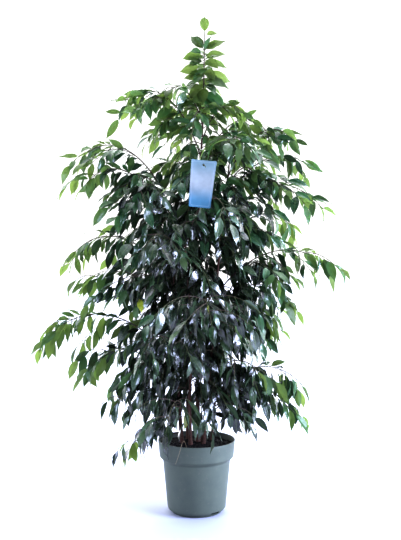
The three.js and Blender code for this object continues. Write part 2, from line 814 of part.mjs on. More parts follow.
const blades = [];
addLeaves(leafy[0], TOP_LEAVES.map(topLeaf), pieces, blades);
branches.forEach((branch, i) => {
  const leaves = branchLeaves(branch, i).filter((leaf) => hasRoom(leaf, hook));
  addLeaves(leafy[i + 1], leaves, pieces, blades);
});

const group = new THREE.Group();
pieces.forEach((piece) => {
  const solid = piece.leaves ? largestBody(Manifold.union([piece.wood, ...piece.leaves])) : piece.wood;
  const mesh = new THREE.Mesh(geometryOf(solid), new THREE.MeshStandardMaterial(piece.look));
  mesh.name = piece.name;
  group.add(mesh);
});

export default group;
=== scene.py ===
# %% [markdown]
# # A weeping fig in its nursery pot
#
# A weeping fig is a small tree of the rubber family. This one is six thin stems planted together in a
# plastic nursery pot, about a metre and a half tall. Its branches climb, arch over and droop, and they carry
# nearly four thousand glossy pointed leaves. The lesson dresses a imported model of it, which stays as it is:
# each plain solid of the model is hidden behind a finer mesh that is grown here by the same rule.

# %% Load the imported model
import math
from functools import partial

import bmesh
import bpy
import numpy as np
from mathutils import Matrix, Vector, noise


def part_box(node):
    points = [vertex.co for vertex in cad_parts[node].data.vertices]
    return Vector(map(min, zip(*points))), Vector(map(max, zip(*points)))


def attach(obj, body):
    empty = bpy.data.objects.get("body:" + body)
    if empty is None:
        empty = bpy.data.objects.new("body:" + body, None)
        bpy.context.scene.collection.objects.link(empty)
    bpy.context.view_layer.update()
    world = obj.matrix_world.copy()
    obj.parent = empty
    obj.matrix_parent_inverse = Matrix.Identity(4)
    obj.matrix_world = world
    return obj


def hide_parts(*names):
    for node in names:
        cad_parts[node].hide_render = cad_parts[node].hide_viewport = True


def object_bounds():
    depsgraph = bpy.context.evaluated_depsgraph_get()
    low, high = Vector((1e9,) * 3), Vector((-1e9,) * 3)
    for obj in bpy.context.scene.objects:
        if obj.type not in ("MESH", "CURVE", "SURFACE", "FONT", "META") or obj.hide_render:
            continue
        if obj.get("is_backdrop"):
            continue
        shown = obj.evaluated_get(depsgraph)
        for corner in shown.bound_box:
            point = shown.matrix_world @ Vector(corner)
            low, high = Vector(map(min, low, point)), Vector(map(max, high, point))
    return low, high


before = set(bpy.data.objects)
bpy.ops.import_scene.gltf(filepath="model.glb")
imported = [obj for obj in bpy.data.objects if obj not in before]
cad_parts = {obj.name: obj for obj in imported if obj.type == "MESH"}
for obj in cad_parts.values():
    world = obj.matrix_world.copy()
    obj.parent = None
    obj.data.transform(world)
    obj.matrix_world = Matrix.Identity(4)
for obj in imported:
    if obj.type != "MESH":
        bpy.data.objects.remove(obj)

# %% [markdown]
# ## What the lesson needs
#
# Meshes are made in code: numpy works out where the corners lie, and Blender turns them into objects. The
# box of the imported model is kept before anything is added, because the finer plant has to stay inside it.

model_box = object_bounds()
pot_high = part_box("pot")[1]
print("nodes:", len(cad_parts), "size in metres:", [round(x, 3) for x in model_box[1] - model_box[0]])

# %% [markdown]
# ## The camera
#
# The view is level, from the front, and a little more than two metres away, at the height of the plant's
# middle. A level camera keeps the pot and the stems upright in the picture. The focal length is given in
# pixels of the picture's long side and turned into the millimetres of a 36 mm sensor.

# %% Set the camera
PICTURE = (401, 540)
FOCAL_PIXELS = 732
SENSOR = 36


def put_in_scene(name, data):
    thing = bpy.data.objects.new(name, data)
    bpy.context.scene.collection.objects.link(thing)
    return thing


camera_data = bpy.data.cameras.new("camera")
camera_data.sensor_width = SENSOR
camera_data.lens = FOCAL_PIXELS / max(PICTURE) * SENSOR
camera = put_in_scene("camera", camera_data)
camera.location = (0.012, -2.28, 0.7456)
camera.rotation_euler = (math.radians(90), 0, 0)
bpy.context.scene.camera = camera
print("lens:", round(camera_data.lens, 1), "mm")

# %% [markdown]
# ## Colours and nodes
#
# Colours are written as the hex values that a screen shows, and one function turns them into the linear
# numbers that shaders work in. A second function adds a node with its settings and what feeds its sockets,
# and hands back its outputs. Each material binds it to its own nodes as add, and so reads as a list of what
# it is made of. In a Map Range node, sockets 1 and 2 are the range that is read, 3 and 4 the range that is
# given. In a Mix node of colours, socket 0 is the share of the second one, 6 and 7 are the two colours, and
# output 2 is the blend.


# %% Turn a hex colour into linear light
def linear(hex_colour):
    shares = [int(hex_colour[i : i + 2], 16) / 255 for i in (1, 3, 5)]
    return (*[x / 12.92 if x <= 0.04045 else ((x + 0.055) / 1.055) ** 2.4 for x in shares], 1)


print("mid grey in linear light:", round(linear("#808080")[0], 3))


# %% Add a node with its settings and links
def add_node(tree, kind, inputs=None, **settings):
    node = tree.nodes.new(kind)
    for name, value in settings.items():
        setattr(node, name, value)
    for socket, value in (inputs or {}).items():
        if isinstance(value, bpy.types.NodeSocket):
            tree.links.new(value, node.inputs[socket])
        else:
            node.inputs[socket].default_value = linear(value) if isinstance(value, str) else value
    return node.outputs


def start_material(name):
    material = bpy.data.materials.new(name)
    material.use_nodes = True
    material.node_tree.nodes.clear()
    add = partial(add_node, material.node_tree)
    return material, add, add("ShaderNodeTexCoord")["Object"]


# %% [markdown]
# ## The studio
#
# The plant stands in a white studio. The wall behind it is bright and shines through the outer leaves. The
# room on the side of the camera is nearly dark, so a glossy leaf can look almost black there. Large soft
# lamps, a strong one on the right and a weaker one on the left, give such leaves their cool pale sheen. The
# camera itself sees plain white all round. Gamma and exposure give the picture the deep darks and clear
# whites of a studio photograph. The floor is a very wide disc, so that its edge lies at the horizon, and a
# wide sun lights it evenly. Near the plant the floor's colour is painted a little darker, a painted shade
# round the pot, so that the soft shadow shows.

# %% Light the studio
ROOM = {"wall": 3.3, "camera_side": 0.055, "from": -0.3, "to": 0.6}
world = bpy.data.worlds.new("white_studio")
world.use_nodes = True
world.node_tree.nodes.clear()
add = partial(add_node, world.node_tree)
aim = add("ShaderNodeTexCoord")["Generated"]
depth = add("ShaderNodeSeparateXYZ", {0: aim})[1]
wall = add("ShaderNodeMapRange", {"Value": depth, 1: ROOM["from"], 2: ROOM["to"]})[0]
glow = add("ShaderNodeMapRange", {"Value": wall, 3: ROOM["camera_side"], 4: ROOM["wall"]})[0]
tint = add("ShaderNodeMix", {0: wall, 6: "#d6deff", 7: "#f6f8ff"}, data_type="RGBA")[2]
room = add("ShaderNodeBackground", {"Color": tint, "Strength": glow})
white = add("ShaderNodeBackground", {"Color": "#ffffff", "Strength": 1.0})
seen = add("ShaderNodeLightPath")["Is Camera Ray"]
surround = add("ShaderNodeMixShader", {0: seen, 1: room[0], 2: white[0]})
add("ShaderNodeOutputWorld", {"Surface": surround[0]})
bpy.context.scene.world = world
view = bpy.context.scene.view_settings
view.view_transform = "Standard"
view.exposure = 0.55
view.gamma = 0.74
print("room light:", ROOM)


# %% Hang the lamps
def add_lamp(name, place, target, size, power, colour):
    data = bpy.data.lights.new(name, "AREA")
    data.shape = "DISK"
    data.size = size
    data.energy = power
    data.color = linear(colour)[:3]
    lamp = put_in_scene(name, data)
    lamp.location = place
    lamp.rotation_euler = (Vector(target) - Vector(place)).to_track_quat("-Z", "Y").to_euler()


CROWN_MIDDLE = (0, 0, 0.8)
add_lamp("key_lamp", (2.6, -1.1, 1.5), CROWN_MIDDLE, 2.0, 270, "#d2dbff")
add_lamp("fill_lamp", (-2.4, -1.3, 1.5), CROWN_MIDDLE, 1.6, 86, "#d2dbff")
sun_data = bpy.data.lights.new("wide_sun", "SUN")
sun_data.angle = math.radians(90)
sun_data.energy = 0.9
put_in_scene("wide_sun", sun_data).rotation_euler = (math.radians(-28), 0, 0)
print("lights:", [light.name for light in bpy.data.lights])

# %% Lay the floor
FLOOR_RADIUS = 80
FLOOR_SIDES = 96
FLOOR_DROP = -0.0002

floor_mesh = bpy.data.meshes.new("floor")
angles = np.linspace(0, 2 * np.pi, FLOOR_SIDES, endpoint=False)
ring = np.stack([np.cos(angles), np.sin(angles), 0 * angles], axis=1) * FLOOR_RADIUS
floor_mesh.from_pydata(ring.tolist(), [], [list(range(FLOOR_SIDES))])
floor = put_in_scene("floor", floor_mesh)
floor.location.z = FLOOR_DROP
floor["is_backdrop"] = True

paint, add, place = start_material("matt_white_studio_floor")
away = add("ShaderNodeVectorMath", {0: place}, operation="LENGTH")["Value"]
# Painted shade: the floor's colour darkens from 1.6 m in to 0.3 m from the plant.
beyond_painted_shade = add("ShaderNodeMapRange", {"Value": away, 1: 0.3, 2: 1.6}, interpolation_type="SMOOTHSTEP")
colour = add("ShaderNodeMix", {0: beyond_painted_shade[0], 6: "#a9acb6", 7: "#d3d6de"}, data_type="RGBA")[2]
shader = add("ShaderNodeBsdfPrincipled", {"Base Color": colour, "Roughness": 0.8})
add("ShaderNodeOutputMaterial", {"Surface": shader[0]})
floor_mesh.materials.append(paint)
print("floor radius:", FLOOR_RADIUS, "m")

# %% [markdown]
# ## A leaf's finish
#
# A weeping fig's leaf is thin, leathery and waxed on its upper side, so it is dark and glossy there and a
# little greener and duller underneath. Young leaves are light green, and old ones turn yellow before they
# fall. Beside that, the green is painted lighter where light falls on the crown and near black in its
# shaded middle, as painted light and shade. The wax is a clear coat with the usual index of about 1.45,
# over blade tissue of the same index, and is left out underneath. Light from behind comes through the
# leaves painted young and pale as a warm green, and hardly at all through old leaves painted dark. Three
# things are written into the mesh for the shader to read: where a point lies on its blade, how young, pale
# or yellow its leaf is, with the painted light and shade in it, and which faces are undersides. That keeps
# one material for all leaves. Side veins on the real leaf are 2 to 3 mm apart, and are drawn 4 mm apart so
# that they can show.

# %% Colour the leaf
leaf_finish, add, place = start_material("waxed_leathery_fig_leaf")
blade = add("ShaderNodeAttribute", attribute_name="blade")["Vector"]
across, along, length = add("ShaderNodeSeparateXYZ", {0: blade})
growth = add("ShaderNodeAttribute", attribute_name="growth")["Vector"]
youth_and_painted_light, tone_and_painted_shade, yellowing = add("ShaderNodeSeparateXYZ", {0: growth})
underside = add("ShaderNodeAttribute", attribute_name="underside")["Fac"]
from_midrib = add("ShaderNodeMath", {0: across}, operation="ABSOLUTE")[0]

# Painted light and shade: the tone runs each leaf's green from near black, in the shaded middle of the crown,
# to a paler green where the crown is lit.
mature = add("ShaderNodeMix", {0: tone_and_painted_shade, 6: "#040a09", 7: "#3c6e44"}, data_type="RGBA")[2]
fresh = add("ShaderNodeMix", {0: tone_and_painted_shade, 6: "#587450", 7: "#97a676"}, data_type="RGBA")[2]
colour = add("ShaderNodeMix", {0: youth_and_painted_light, 6: mature, 7: fresh}, data_type="RGBA")[2]
colour = add("ShaderNodeMix", {0: yellowing, 6: colour, 7: "#a3ad38"}, data_type="RGBA")[2]

mottling = add("ShaderNodeTexNoise", {"Vector": place, "Scale": 90, "Detail": 4, "Roughness": 0.6})
cloud = add("ShaderNodeMapRange", {"Value": mottling["Fac"], 1: 0.3, 2: 0.7, 3: 0.78, 4: 1.2})[0]
colour = add("ShaderNodeMix", {0: 1.0, 6: colour, 7: cloud}, data_type="RGBA", blend_type="MULTIPLY")[2]
print("nodes for the leaf's colour:", len(leaf_finish.node_tree.nodes))

# %% Vein the leaf
VEIN_SPACING = 4.0
VEIN_SLANT = 0.14

slant = add("ShaderNodeMath", {0: from_midrib, 1: VEIN_SLANT, 2: along}, operation="MULTIPLY_ADD")[0]
run = add("ShaderNodeMath", {0: slant, 1: length}, operation="MULTIPLY")[0]
phase = add("ShaderNodeMath", {0: run, 1: 2 * math.pi / VEIN_SPACING}, operation="MULTIPLY")[0]
wave = add("ShaderNodeMath", {0: phase}, operation="SINE")[0]
vein = add("ShaderNodeMapRange", {"Value": wave, 1: 0.55, 2: 1.0})[0]
midrib = add("ShaderNodeMapRange", {"Value": from_midrib, 1: 0.16, 2: 0.04})[0]
PALER_PARTS = ((vein, 0.05, "#86a860"), (midrib, 0.12, "#9cb46a"), (underside, 0.22, "#5c8050"))
for where, strength, shade in PALER_PARTS:
    share = add("ShaderNodeMath", {0: where, 1: strength}, operation="MULTIPLY")[0]
    colour = add("ShaderNodeMix", {0: share, 6: colour, 7: shade}, data_type="RGBA")[2]
print("nodes with the veins:", len(leaf_finish.node_tree.nodes))

# %% Wax the leaf and let light through
shine = add("ShaderNodeMapRange", {"Value": mottling["Fac"], 1: 0.3, 2: 0.7, 3: 0.22, 4: 0.36})
roughness = add("ShaderNodeMix", {0: underside, 2: shine[0], 3: 0.42})[0]
relief = add("ShaderNodeMath", {0: vein, 1: midrib}, operation="MAXIMUM")[0]
bump = add("ShaderNodeBump", {"Height": relief, "Strength": 0.35, "Distance": 0.0006})[0]
wax_share = add("ShaderNodeMath", {0: 1.0, 1: underside}, operation="SUBTRACT")[0]
wax = add("ShaderNodeBsdfPrincipled", {
    "Base Color": colour, "Roughness": roughness, "IOR": 1.45, "Normal": bump,
    "Coat Weight": wax_share, "Coat Roughness": 0.13, "Coat IOR": 1.45,
})
through = add("ShaderNodeMix", {0: 0.7, 6: colour, 7: "#c9d5a0"}, data_type="RGBA")[2]
glow = add("ShaderNodeBsdfTranslucent", {"Color": through, "Normal": bump})
# The share of light let through follows the painted light and shade too: leaves painted dark let little
# through.
airy = add("ShaderNodeMath", {0: tone_and_painted_shade, 1: youth_and_painted_light}, operation="ADD")[0]
thin = add("ShaderNodeMapRange", {"Value": airy, 1: 0.35, 2: 1.2, 3: 0.03, 4: 0.85})[0]
sheet = add("ShaderNodeMixShader", {0: thin, 1: wax[0], 2: glow[0]})
add("ShaderNodeOutputMaterial", {"Surface": sheet[0]})
print("leaf material nodes:", len(leaf_finish.node_tree.nodes))

# %% [markdown]
# ## Bark
#
# The stems have thin, smooth, reddish-brown bark with small pale pores, the lenticels, that lie across them.
# Twigs have darker bark, and their last soft growth, with the leaf stalks, is green. The mesh says how woody
# each point is, and the shader goes by it from green to dark twig bark and on to red-brown. Lenticels are 1
# to 3 mm wide: a noise that is squeezed along the stem gives short dashes across it. Bark scatters light like
# other dry plant stuff, with an index of about 1.5 and no gloss.

# %% Make the bark's material
bark_finish, add, place = start_material("smooth_young_fig_bark")
growth = add("ShaderNodeAttribute", attribute_name="growth")["Vector"]
woody = add("ShaderNodeSeparateXYZ", {0: growth})[0]
streaks_place = add("ShaderNodeMapping", {0: place, "Scale": (420, 420, 30)})[0]
streaks = add("ShaderNodeTexNoise", {"Vector": streaks_place, "Scale": 1, "Detail": 5})["Fac"]
pores_place = add("ShaderNodeMapping", {0: place, "Scale": (260, 260, 700)})[0]
pores = add("ShaderNodeTexNoise", {"Vector": pores_place, "Scale": 1, "Detail": 1})["Fac"]
pore = add("ShaderNodeMapRange", {"Value": pores, 1: 0.62, 2: 0.7})[0]

old_bark = add("ShaderNodeMix", {0: streaks, 6: "#2a1a15", 7: "#6e4a3a"}, data_type="RGBA")[2]
twig_bark = add("ShaderNodeMix", {0: streaks, 6: "#2b201b", 7: "#574339"}, data_type="RGBA")[2]
half_grown = add("ShaderNodeMapRange", {"Value": woody, 1: 0.0, 2: 0.7})[0]
full_grown = add("ShaderNodeMapRange", {"Value": woody, 1: 0.9, 2: 1.0})[0]
colour = add("ShaderNodeMix", {0: half_grown, 6: "#4b5b2c", 7: twig_bark}, data_type="RGBA")[2]
colour = add("ShaderNodeMix", {0: full_grown, 6: colour, 7: old_bark}, data_type="RGBA")[2]
pore_share = add("ShaderNodeMath", {0: pore, 1: 0.5}, operation="MULTIPLY")[0]
colour = add("ShaderNodeMix", {0: pore_share, 6: colour, 7: "#a08c7c"}, data_type="RGBA")[2]
rough = add("ShaderNodeMapRange", {"Value": streaks, 3: 0.6, 4: 0.85})[0]
relief = add("ShaderNodeMath", {0: streaks, 1: pore}, operation="ADD")[0]
bump = add("ShaderNodeBump", {"Height": relief, "Strength": 0.5, "Distance": 0.0005})[0]
bark = add("ShaderNodeBsdfPrincipled", {"Base Color": colour, "Roughness": rough, "IOR": 1.5, "Normal": bump})
add("ShaderNodeOutputMaterial", {"Surface": bark[0]})
print("bark material nodes:", len(bark_finish.node_tree.nodes))

# %% [markdown]
# ## The pot's plastic
#
# Nursery pots are injection-moulded from recycled polypropylene, here a grey-green one. The plastic is
# satin, with an index of 1.49, and the mould leaves a fine grain of about 0.4 mm, which is drawn at 0.8 mm,
# with faint rings from the turned tool. Handling leaves cloudy scuffs, and the soil a little brown dust.

# %% Make the pot's material
pot_finish, add, place = start_material("moulded_recycled_polypropylene")
clouds = add("ShaderNodeTexNoise", {"Vector": place, "Scale": 28, "Detail": 6, "Roughness": 0.62})
grain = add("ShaderNodeTexNoise", {"Vector": place, "Scale": 1250, "Detail": 2})
rings_place = add("ShaderNodeMapping", {0: place, "Scale": (14, 14, 900)})[0]
rings = add("ShaderNodeTexNoise", {"Vector": rings_place, "Scale": 1, "Detail": 2})["Fac"]
dust = add("ShaderNodeTexNoise", {"Vector": place, "Scale": 75, "Detail": 8, "Roughness": 0.7})
dusty = add("ShaderNodeMapRange", {"Value": dust["Fac"], 1: 0.58, 2: 0.75, 3: 0, 4: 0.4})

colour = add("ShaderNodeMix", {0: clouds["Fac"], 6: "#48524a", 7: "#61695a"}, data_type="RGBA")[2]
colour = add("ShaderNodeMix", {0: dusty[0], 6: colour, 7: "#7b7466"}, data_type="RGBA")[2]
matt = add("ShaderNodeMapRange", {"Value": clouds["Fac"], 1: 0.3, 2: 0.7, 3: 0.38, 4: 0.56})
height = add("ShaderNodeMix", {0: 0.5, 2: grain["Fac"], 3: rings})[0]
bump = add("ShaderNodeBump", {"Height": height, "Strength": 0.3, "Distance": 0.0004})[0]
surface = {"Base Color": colour, "Roughness": matt[0], "IOR": 1.49, "Normal": bump}
plastic = add("ShaderNodeBsdfPrincipled", surface)
add("ShaderNodeOutputMaterial", {"Surface": plastic[0]})
print("pot material nodes:", len(pot_finish.node_tree.nodes))

# %% [markdown]
# ## Potting soil
#
# Potting soil is mostly peat: nearly black while it is moist, crumbly, with brown fibres and bits of bark.
# It has no gloss. The crumbs themselves are real geometry further on, and the material gives each of them
# its own shade by a noise as coarse as they are, with a finer one for the fibres.

# %% Make the soil's material
soil_finish, add, place = start_material("moist_crumbly_peat")
crumb_shade = add("ShaderNodeTexNoise", {"Vector": place, "Scale": 160, "Detail": 3})["Fac"]
fibres = add("ShaderNodeTexNoise", {"Vector": place, "Scale": 900, "Detail": 6})["Fac"]
fibre = add("ShaderNodeMapRange", {"Value": fibres, 1: 0.55, 2: 0.72, 3: 0, 4: 0.6})[0]
crumb = add("ShaderNodeMapRange", {"Value": crumb_shade, 1: 0.35, 2: 0.68})[0]
colour = add("ShaderNodeMix", {0: crumb, 6: "#050404", 7: "#120d0b"}, data_type="RGBA")[2]
colour = add("ShaderNodeMix", {0: fibre, 6: colour, 7: "#261e19"}, data_type="RGBA")[2]
bump = add("ShaderNodeBump", {"Height": fibres, "Strength": 0.8, "Distance": 0.001})[0]
peat = add("ShaderNodeBsdfPrincipled", {"Base Color": colour, "Roughness": 0.95, "IOR": 1.45, "Normal": bump})
add("ShaderNodeOutputMaterial", {"Surface": peat[0]})
print("soil material nodes:", len(soil_finish.node_tree.nodes))

# %% [markdown]
# ## Rods along a line
#
# Stems, twigs, stalks and buds are all rods: rings of corners round a line, joined by faces. To keep a rod
# from twisting, the direction across it is carried from ring to ring and only straightened where the line
# turns. The same steps serve a stem of a metre and a leaf stalk of a centimetre.


# %% Make a rod
def unit(vector):
    return vector / np.linalg.norm(vector)


def ring_faces(rings, sides, first=0):
    faces = []
    for start in range(first, first + (rings - 1) * sides, sides):
        for s in range(sides):
            turned_on = (s + 1) % sides
            faces.append([start + s, start + turned_on, start + sides + turned_on, start + sides + s])
    return faces


def rod(points, radii, sides):
    points = np.asarray(points, float)
    last = len(points) - 1
    around = np.arange(sides) * 2 * np.pi / sides
    across = np.array([1.0, 0, 0])
    rings = []
    for i, (point, radius) in enumerate(zip(points, radii)):
        along = unit(points[min(i + 1, last)] - points[max(i - 1, 0)])
        if i == 0 and abs(along[2]) < 0.9:
            across = np.array([0, 0, 1.0])
        across = unit(across - along * across.dot(along))
        other = np.cross(along, across)
        rings.append(point + radius * (np.outer(np.cos(around), across) + np.outer(np.sin(around), other)))
    foot = list(range(sides - 1, -1, -1))
    head = list(range(last * sides, (last + 1) * sides))
    return np.concatenate(rings), [*ring_faces(last + 1, sides), foot, head]


print("a rod of 2 rings and 6 sides has", len(rod([[0, 0, 0], [0, 0, 1]], [1, 1], 6)[1]), "faces")

# %% [markdown]
# ## Meshes from parts
#
# A branch is one mesh of many parts: its wood, its leaf stalks and its blades. This small class collects
# them. Corners come in millimetres, as the plant was measured, and go out in metres. Each corner also has
# the two sets of numbers that the materials read, and each face says which material it takes and whether it
# is the underside of a leaf.


# %% Collect a piece's parts
MM = 0.001
WOOD, LEAF_FACE = 0, 1


class Parts:
    def __init__(self):
        self.corners, self.faces, self.slots, self.undersides = [], [], [], []
        self.blade, self.growth = [], []
        self.count = 0

    def add(self, corners, faces, slot=WOOD, growth=(1, 0, 0), blade=(0, 0, 0), undersides=None):
        shape = (len(corners), 3)
        self.corners.append(np.asarray(corners, float))
        self.faces += [[corner + self.count for corner in face] for face in faces]
        self.slots += [slot] * len(faces)
        self.undersides += undersides or [0] * len(faces)
        self.blade.append(np.broadcast_to(blade, shape))
        self.growth.append(np.broadcast_to(growth, shape))
        self.count += len(corners)

    def add_rod(self, line, radii, sides, woodiness=1):
        corners, faces = rod(line, radii, sides)
        growth = np.zeros((len(corners), 3))
        growth[:, 0] = np.repeat(np.broadcast_to(woodiness, len(line)), sides)
        self.add(corners, faces, WOOD, growth)


test_parts = Parts()
test_parts.add_rod([[0, 0, 0], [0, 0, 1]], [1, 1], 6)
print("as a part, that rod has", test_parts.count, "corners")


# %% Turn parts into a piece
def write_values(mesh, label, values, domain="POINT"):
    values = np.asarray(values, np.float32)
    kind, field = ("FLOAT_VECTOR", "vector") if values.ndim == 2 else ("FLOAT", "value")
    mesh.attributes.new(label, kind, domain).data.foreach_set(field, values.ravel())


def add_piece(name, parts, materials, nodes=(), smooth_below=75):
    mesh = bpy.data.meshes.new(name)
    mesh.from_pydata((np.concatenate(parts.corners) * MM).tolist(), [], parts.faces)
    for material in materials:
        mesh.materials.append(material)
    mesh.polygons.foreach_set("material_index", parts.slots)
    mesh.polygons.foreach_set("use_smooth", [True] * len(parts.faces))
    mesh.set_sharp_from_angle(angle=math.radians(smooth_below))
    if bark_finish in materials:
        write_values(mesh, "growth", np.concatenate(parts.growth))
    if leaf_finish in materials:
        write_values(mesh, "blade", np.concatenate(parts.blade))
        write_values(mesh, "underside", parts.undersides, "FACE")
    piece = put_in_scene(name, mesh)
    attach(piece, "root")
    if nodes:
        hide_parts(*nodes)
    return piece


print("in a leafy piece, slot", WOOD, "is wood and slot", LEAF_FACE, "is blades")

# %% [markdown]
# ## The stems
#
# Each stem leans from its foot in the soil to its top, and sways a little off the straight line, as a stem
# does that has grown towards the light. The leader goes on to the top of the plant. Numbers that look
# random come from a small repeatable stream, so the same plant grows each time.

# %% Set out the stems
SOIL_TOP = 203
STEMS = [
    {"name": name, "foot": foot, "top": top, "radius": radius, "sway": sway, "turn": turn}
    for name, foot, top, radius, sway, turn in (
        ("stem_leader", (2, 6), (21, -4, 1262), (7.5, 2.6), 12, 60),
        ("stem_left", (-46, -8), (-92, -20, 972), (6, 2.4), 10, 150),
        ("stem_right", (20, -22), (100, -8, 1056), (6, 2.4), 10, 300),
        ("stem_front", (-18, -34), (-34, -100, 830), (5.2, 2.4), 8, 220),
        ("stem_back", (-28, 34), (-14, 110, 942), (5.2, 2.4), 8, 100),
        ("stem_slim", (46, 14), (106, 58, 712), (3.8, 2.2), 8, 20),
    )
]
LEADER = STEMS[0]
STEM_WAY = {"lean": 1.4, "turn": 200, "taper": 0.85}
UP = np.array([0, 0, 1.0])
DRAW_FACTOR = 16807
DRAW_MODULUS = 2**31 - 1


def draws_from(state):
    while True:
        state = state * DRAW_FACTOR % DRAW_MODULUS
        yield state / DRAW_MODULUS


def mix(first, second, share):
    return (1 - share) * first + share * second


def level(angle):
    return np.array([math.cos(angle), math.sin(angle), 0])


def stem_at(stem, z):
    share = min(max((z - SOIL_TOP) / (stem["top"][2] - SOIL_TOP), 0), 1)
    lean = share ** STEM_WAY["lean"]
    swing = stem["sway"] * math.sin(math.pi * share)
    turn = math.radians(stem["turn"] + STEM_WAY["turn"] * share)
    x = mix(stem["foot"][0], stem["top"][0], lean) + swing * math.cos(turn)
    y = mix(stem["foot"][1], stem["top"][1], lean) + swing * math.sin(turn)
    return np.array([x, y, z]), mix(*stem["radius"], share ** STEM_WAY["taper"])


print("the leader is", round(2 * stem_at(LEADER, 300)[1], 1), "mm thick near the soil")

# %% [markdown]
# ## Where branches go
#
# The branches that show against the white behind the plant are set one by one: the stem they leave, the
# height of their root, where they end, how high they arch, and how much of them is bare. Those that fill the
# crown between them follow the rule of most trees: each is turned from the one below it by the golden angle,
# so that no two shade each other, and is as long as the crown is deep there.

# %% Set out the branches of the outline
OUTLINE_BRANCHES = [
    ("stem_leader", [
        (932, (25, -285, 1027), 1033, 0.55), (1095, (-198, -30, 1268), 1282, 0.3),
        (1195, (-84, -45, 1290), 1300, 0.3),
    ]),
    ("stem_left", [
        (955, (-350, 20, 1106), 1124, 0.2), (885, (-330, -90, 1004), 1046, 0.2),
        (820, (-176, -170, 950), 992, 0.2), (690, (-378, -30, 795), 846, 0.2),
        (600, (-346, 60, 690), 738, 0.3), (450, (-472, -40, 516), 612, 0.3), (365, (-346, 50, 442), 496, 0.4),
        (300, (-250, -60, 330), 388, 0.45), (236, (-218, 10, 178), 242, 0.5),
    ]),
    ("stem_leader", [(1140, (135, -20, 1236), 1250, 0.3), (1040, (215, 30, 1190), 1208, 0.25)]),
    ("stem_right", [
        (1030, (292, -40, 1146), 1170, 0.2), (945, (352, 30, 1072), 1096, 0.2),
        (870, (345, -70, 962), 1002, 0.2), (795, (304, 60, 890), 920, 0.2), (665, (404, -10, 752), 806, 0.25),
        (570, (266, -60, 650), 700, 0.2), (495, (222, 70, 572), 612, 0.2), (345, (320, -20, 396), 448, 0.35),
        (290, (278, 75, 322), 374, 0.4), (256, (145, -70, 296), 342, 0.5),
    ]),
]
print("branches of the outline:", sum(len(rows) for _, rows in OUTLINE_BRANCHES))

# %% Fill the crown with branches
FILL = {"count": 26, "lowest": 350, "highest": 1300, "golden_angle": 137.508, "first_azimuth": 262}
FILL |= {"jitter": 16, "climb": (0.34, 0.52), "droop": (0.45, 0.75), "shortest": 90, "stem_above": 12}
FILL |= {"bare": 0.18, "seed": 4021}
CROWN_HEIGHTS = (250, 400, 600, 800, 1000, 1150, 1320)
CROWN_WIDE = (150, 200, 225, 240, 220, 150, 75)
CROWN_DEEP = (210, 310, 370, 385, 330, 230, 100)


def crown_reach(z, azimuth):
    wide = np.interp(z, CROWN_HEIGHTS, CROWN_WIDE)
    deep = np.interp(z, CROWN_HEIGHTS, CROWN_DEEP)
    return wide * deep / math.hypot(deep * math.cos(azimuth), wide * math.sin(azimuth))


def fill_branch(i, draw):
    height = mix(FILL["lowest"], FILL["highest"], (i + 0.5) / FILL["count"])
    turn = FILL["first_azimuth"] + i * FILL["golden_angle"] + FILL["jitter"] * (next(draw) - 0.5)
    facing = level(math.radians(turn))
    reach = crown_reach(height, math.radians(turn))
    climb = reach * mix(*FILL["climb"], next(draw))
    root = height - climb
    able = [stem for stem in STEMS if stem["top"][2] > root + FILL["stem_above"]]
    stem = max(able, key=lambda candidate: stem_at(candidate, root)[0].dot(facing))
    start = stem_at(stem, root)[0]
    tip = start + facing * max(reach - start.dot(facing), FILL["shortest"])
    tip[2] = root + climb * mix(*FILL["droop"], next(draw))
    return {"stem": stem, "z": root, "tip": tip, "arch": height, "bare": FILL["bare"],
            "seed": 2003 + 41 * i, "outer": False}


def branch_plan():
    plan = []
    for stem_name, rows in OUTLINE_BRANCHES:
        stem = next(candidate for candidate in STEMS if candidate["name"] == stem_name)
        for z, tip, arch, bare in rows:
            plan.append({"stem": stem, "z": z, "tip": np.array(tip, float), "arch": arch, "bare": bare,
                         "seed": 101 + 37 * len(plan), "outer": True})
    draw = draws_from(FILL["seed"])
    return plan + [fill_branch(i, draw) for i in range(FILL["count"])]


print("branches planned:", len(branch_plan()))

# %% [markdown]
# ## The line of a branch
#
# A weeping branch climbs steeply from its stem, arches over and droops to its tip. A Bézier curve with four
# points says just that: the two in the middle pull the line up and over. Side twigs have three. The curve
# is a weighted sum of its points, so all its places come from one multiplication.

# %% Draw a branch's line
CLIMB = {"out": 0.25, "rise": 0.95}
CREST = {"out": 0.7, "rise": 1.55, "end": -0.25}
SAMPLE_GAP = 6
LENGTH_STEPS = 200
TANGENT_STEP = 0.0001


def curve_points(curve, shares):
    order = len(curve) - 1
    shares = np.atleast_1d(shares)[:, None]
    power = np.arange(order + 1)
    ways = np.array([math.comb(order, k) for k in power])
    return (ways * shares**power * (1 - shares) ** (order - power)) @ curve


def curve_length(curve):
    points = curve_points(curve, np.linspace(0, 1, LENGTH_STEPS + 1))
    return np.linalg.norm(np.diff(points, axis=0), axis=1).sum()


def curve_heading(curve, share):
    ends = [max(share - TANGENT_STEP, 0), min(share + TANGENT_STEP, 1)]
    before, after = curve_points(curve, ends)
    return unit(after - before)


def points_along(curve, gap):
    return curve_points(curve, np.linspace(0, 1, max(2, math.ceil(curve_length(curve) / gap)) + 1))


def branch_curve(branch, turn, shift):
    root = stem_at(branch["stem"], branch["z"] + shift)[0]
    away = branch["tip"] - root
    out = np.array([
        away[0] * math.cos(turn) - away[1] * math.sin(turn),
        away[0] * math.sin(turn) + away[1] * math.cos(turn),
        0,
    ])
    rise = branch["arch"] - root[2]
    end = branch["tip"][2] - root[2]
    return np.array([
        root,
        root + CLIMB["out"] * out + UP * rise * CLIMB["rise"],
        root + CREST["out"] * out + UP * (rise * CREST["rise"] + end * CREST["end"]),
        root + out + UP * end,
    ])


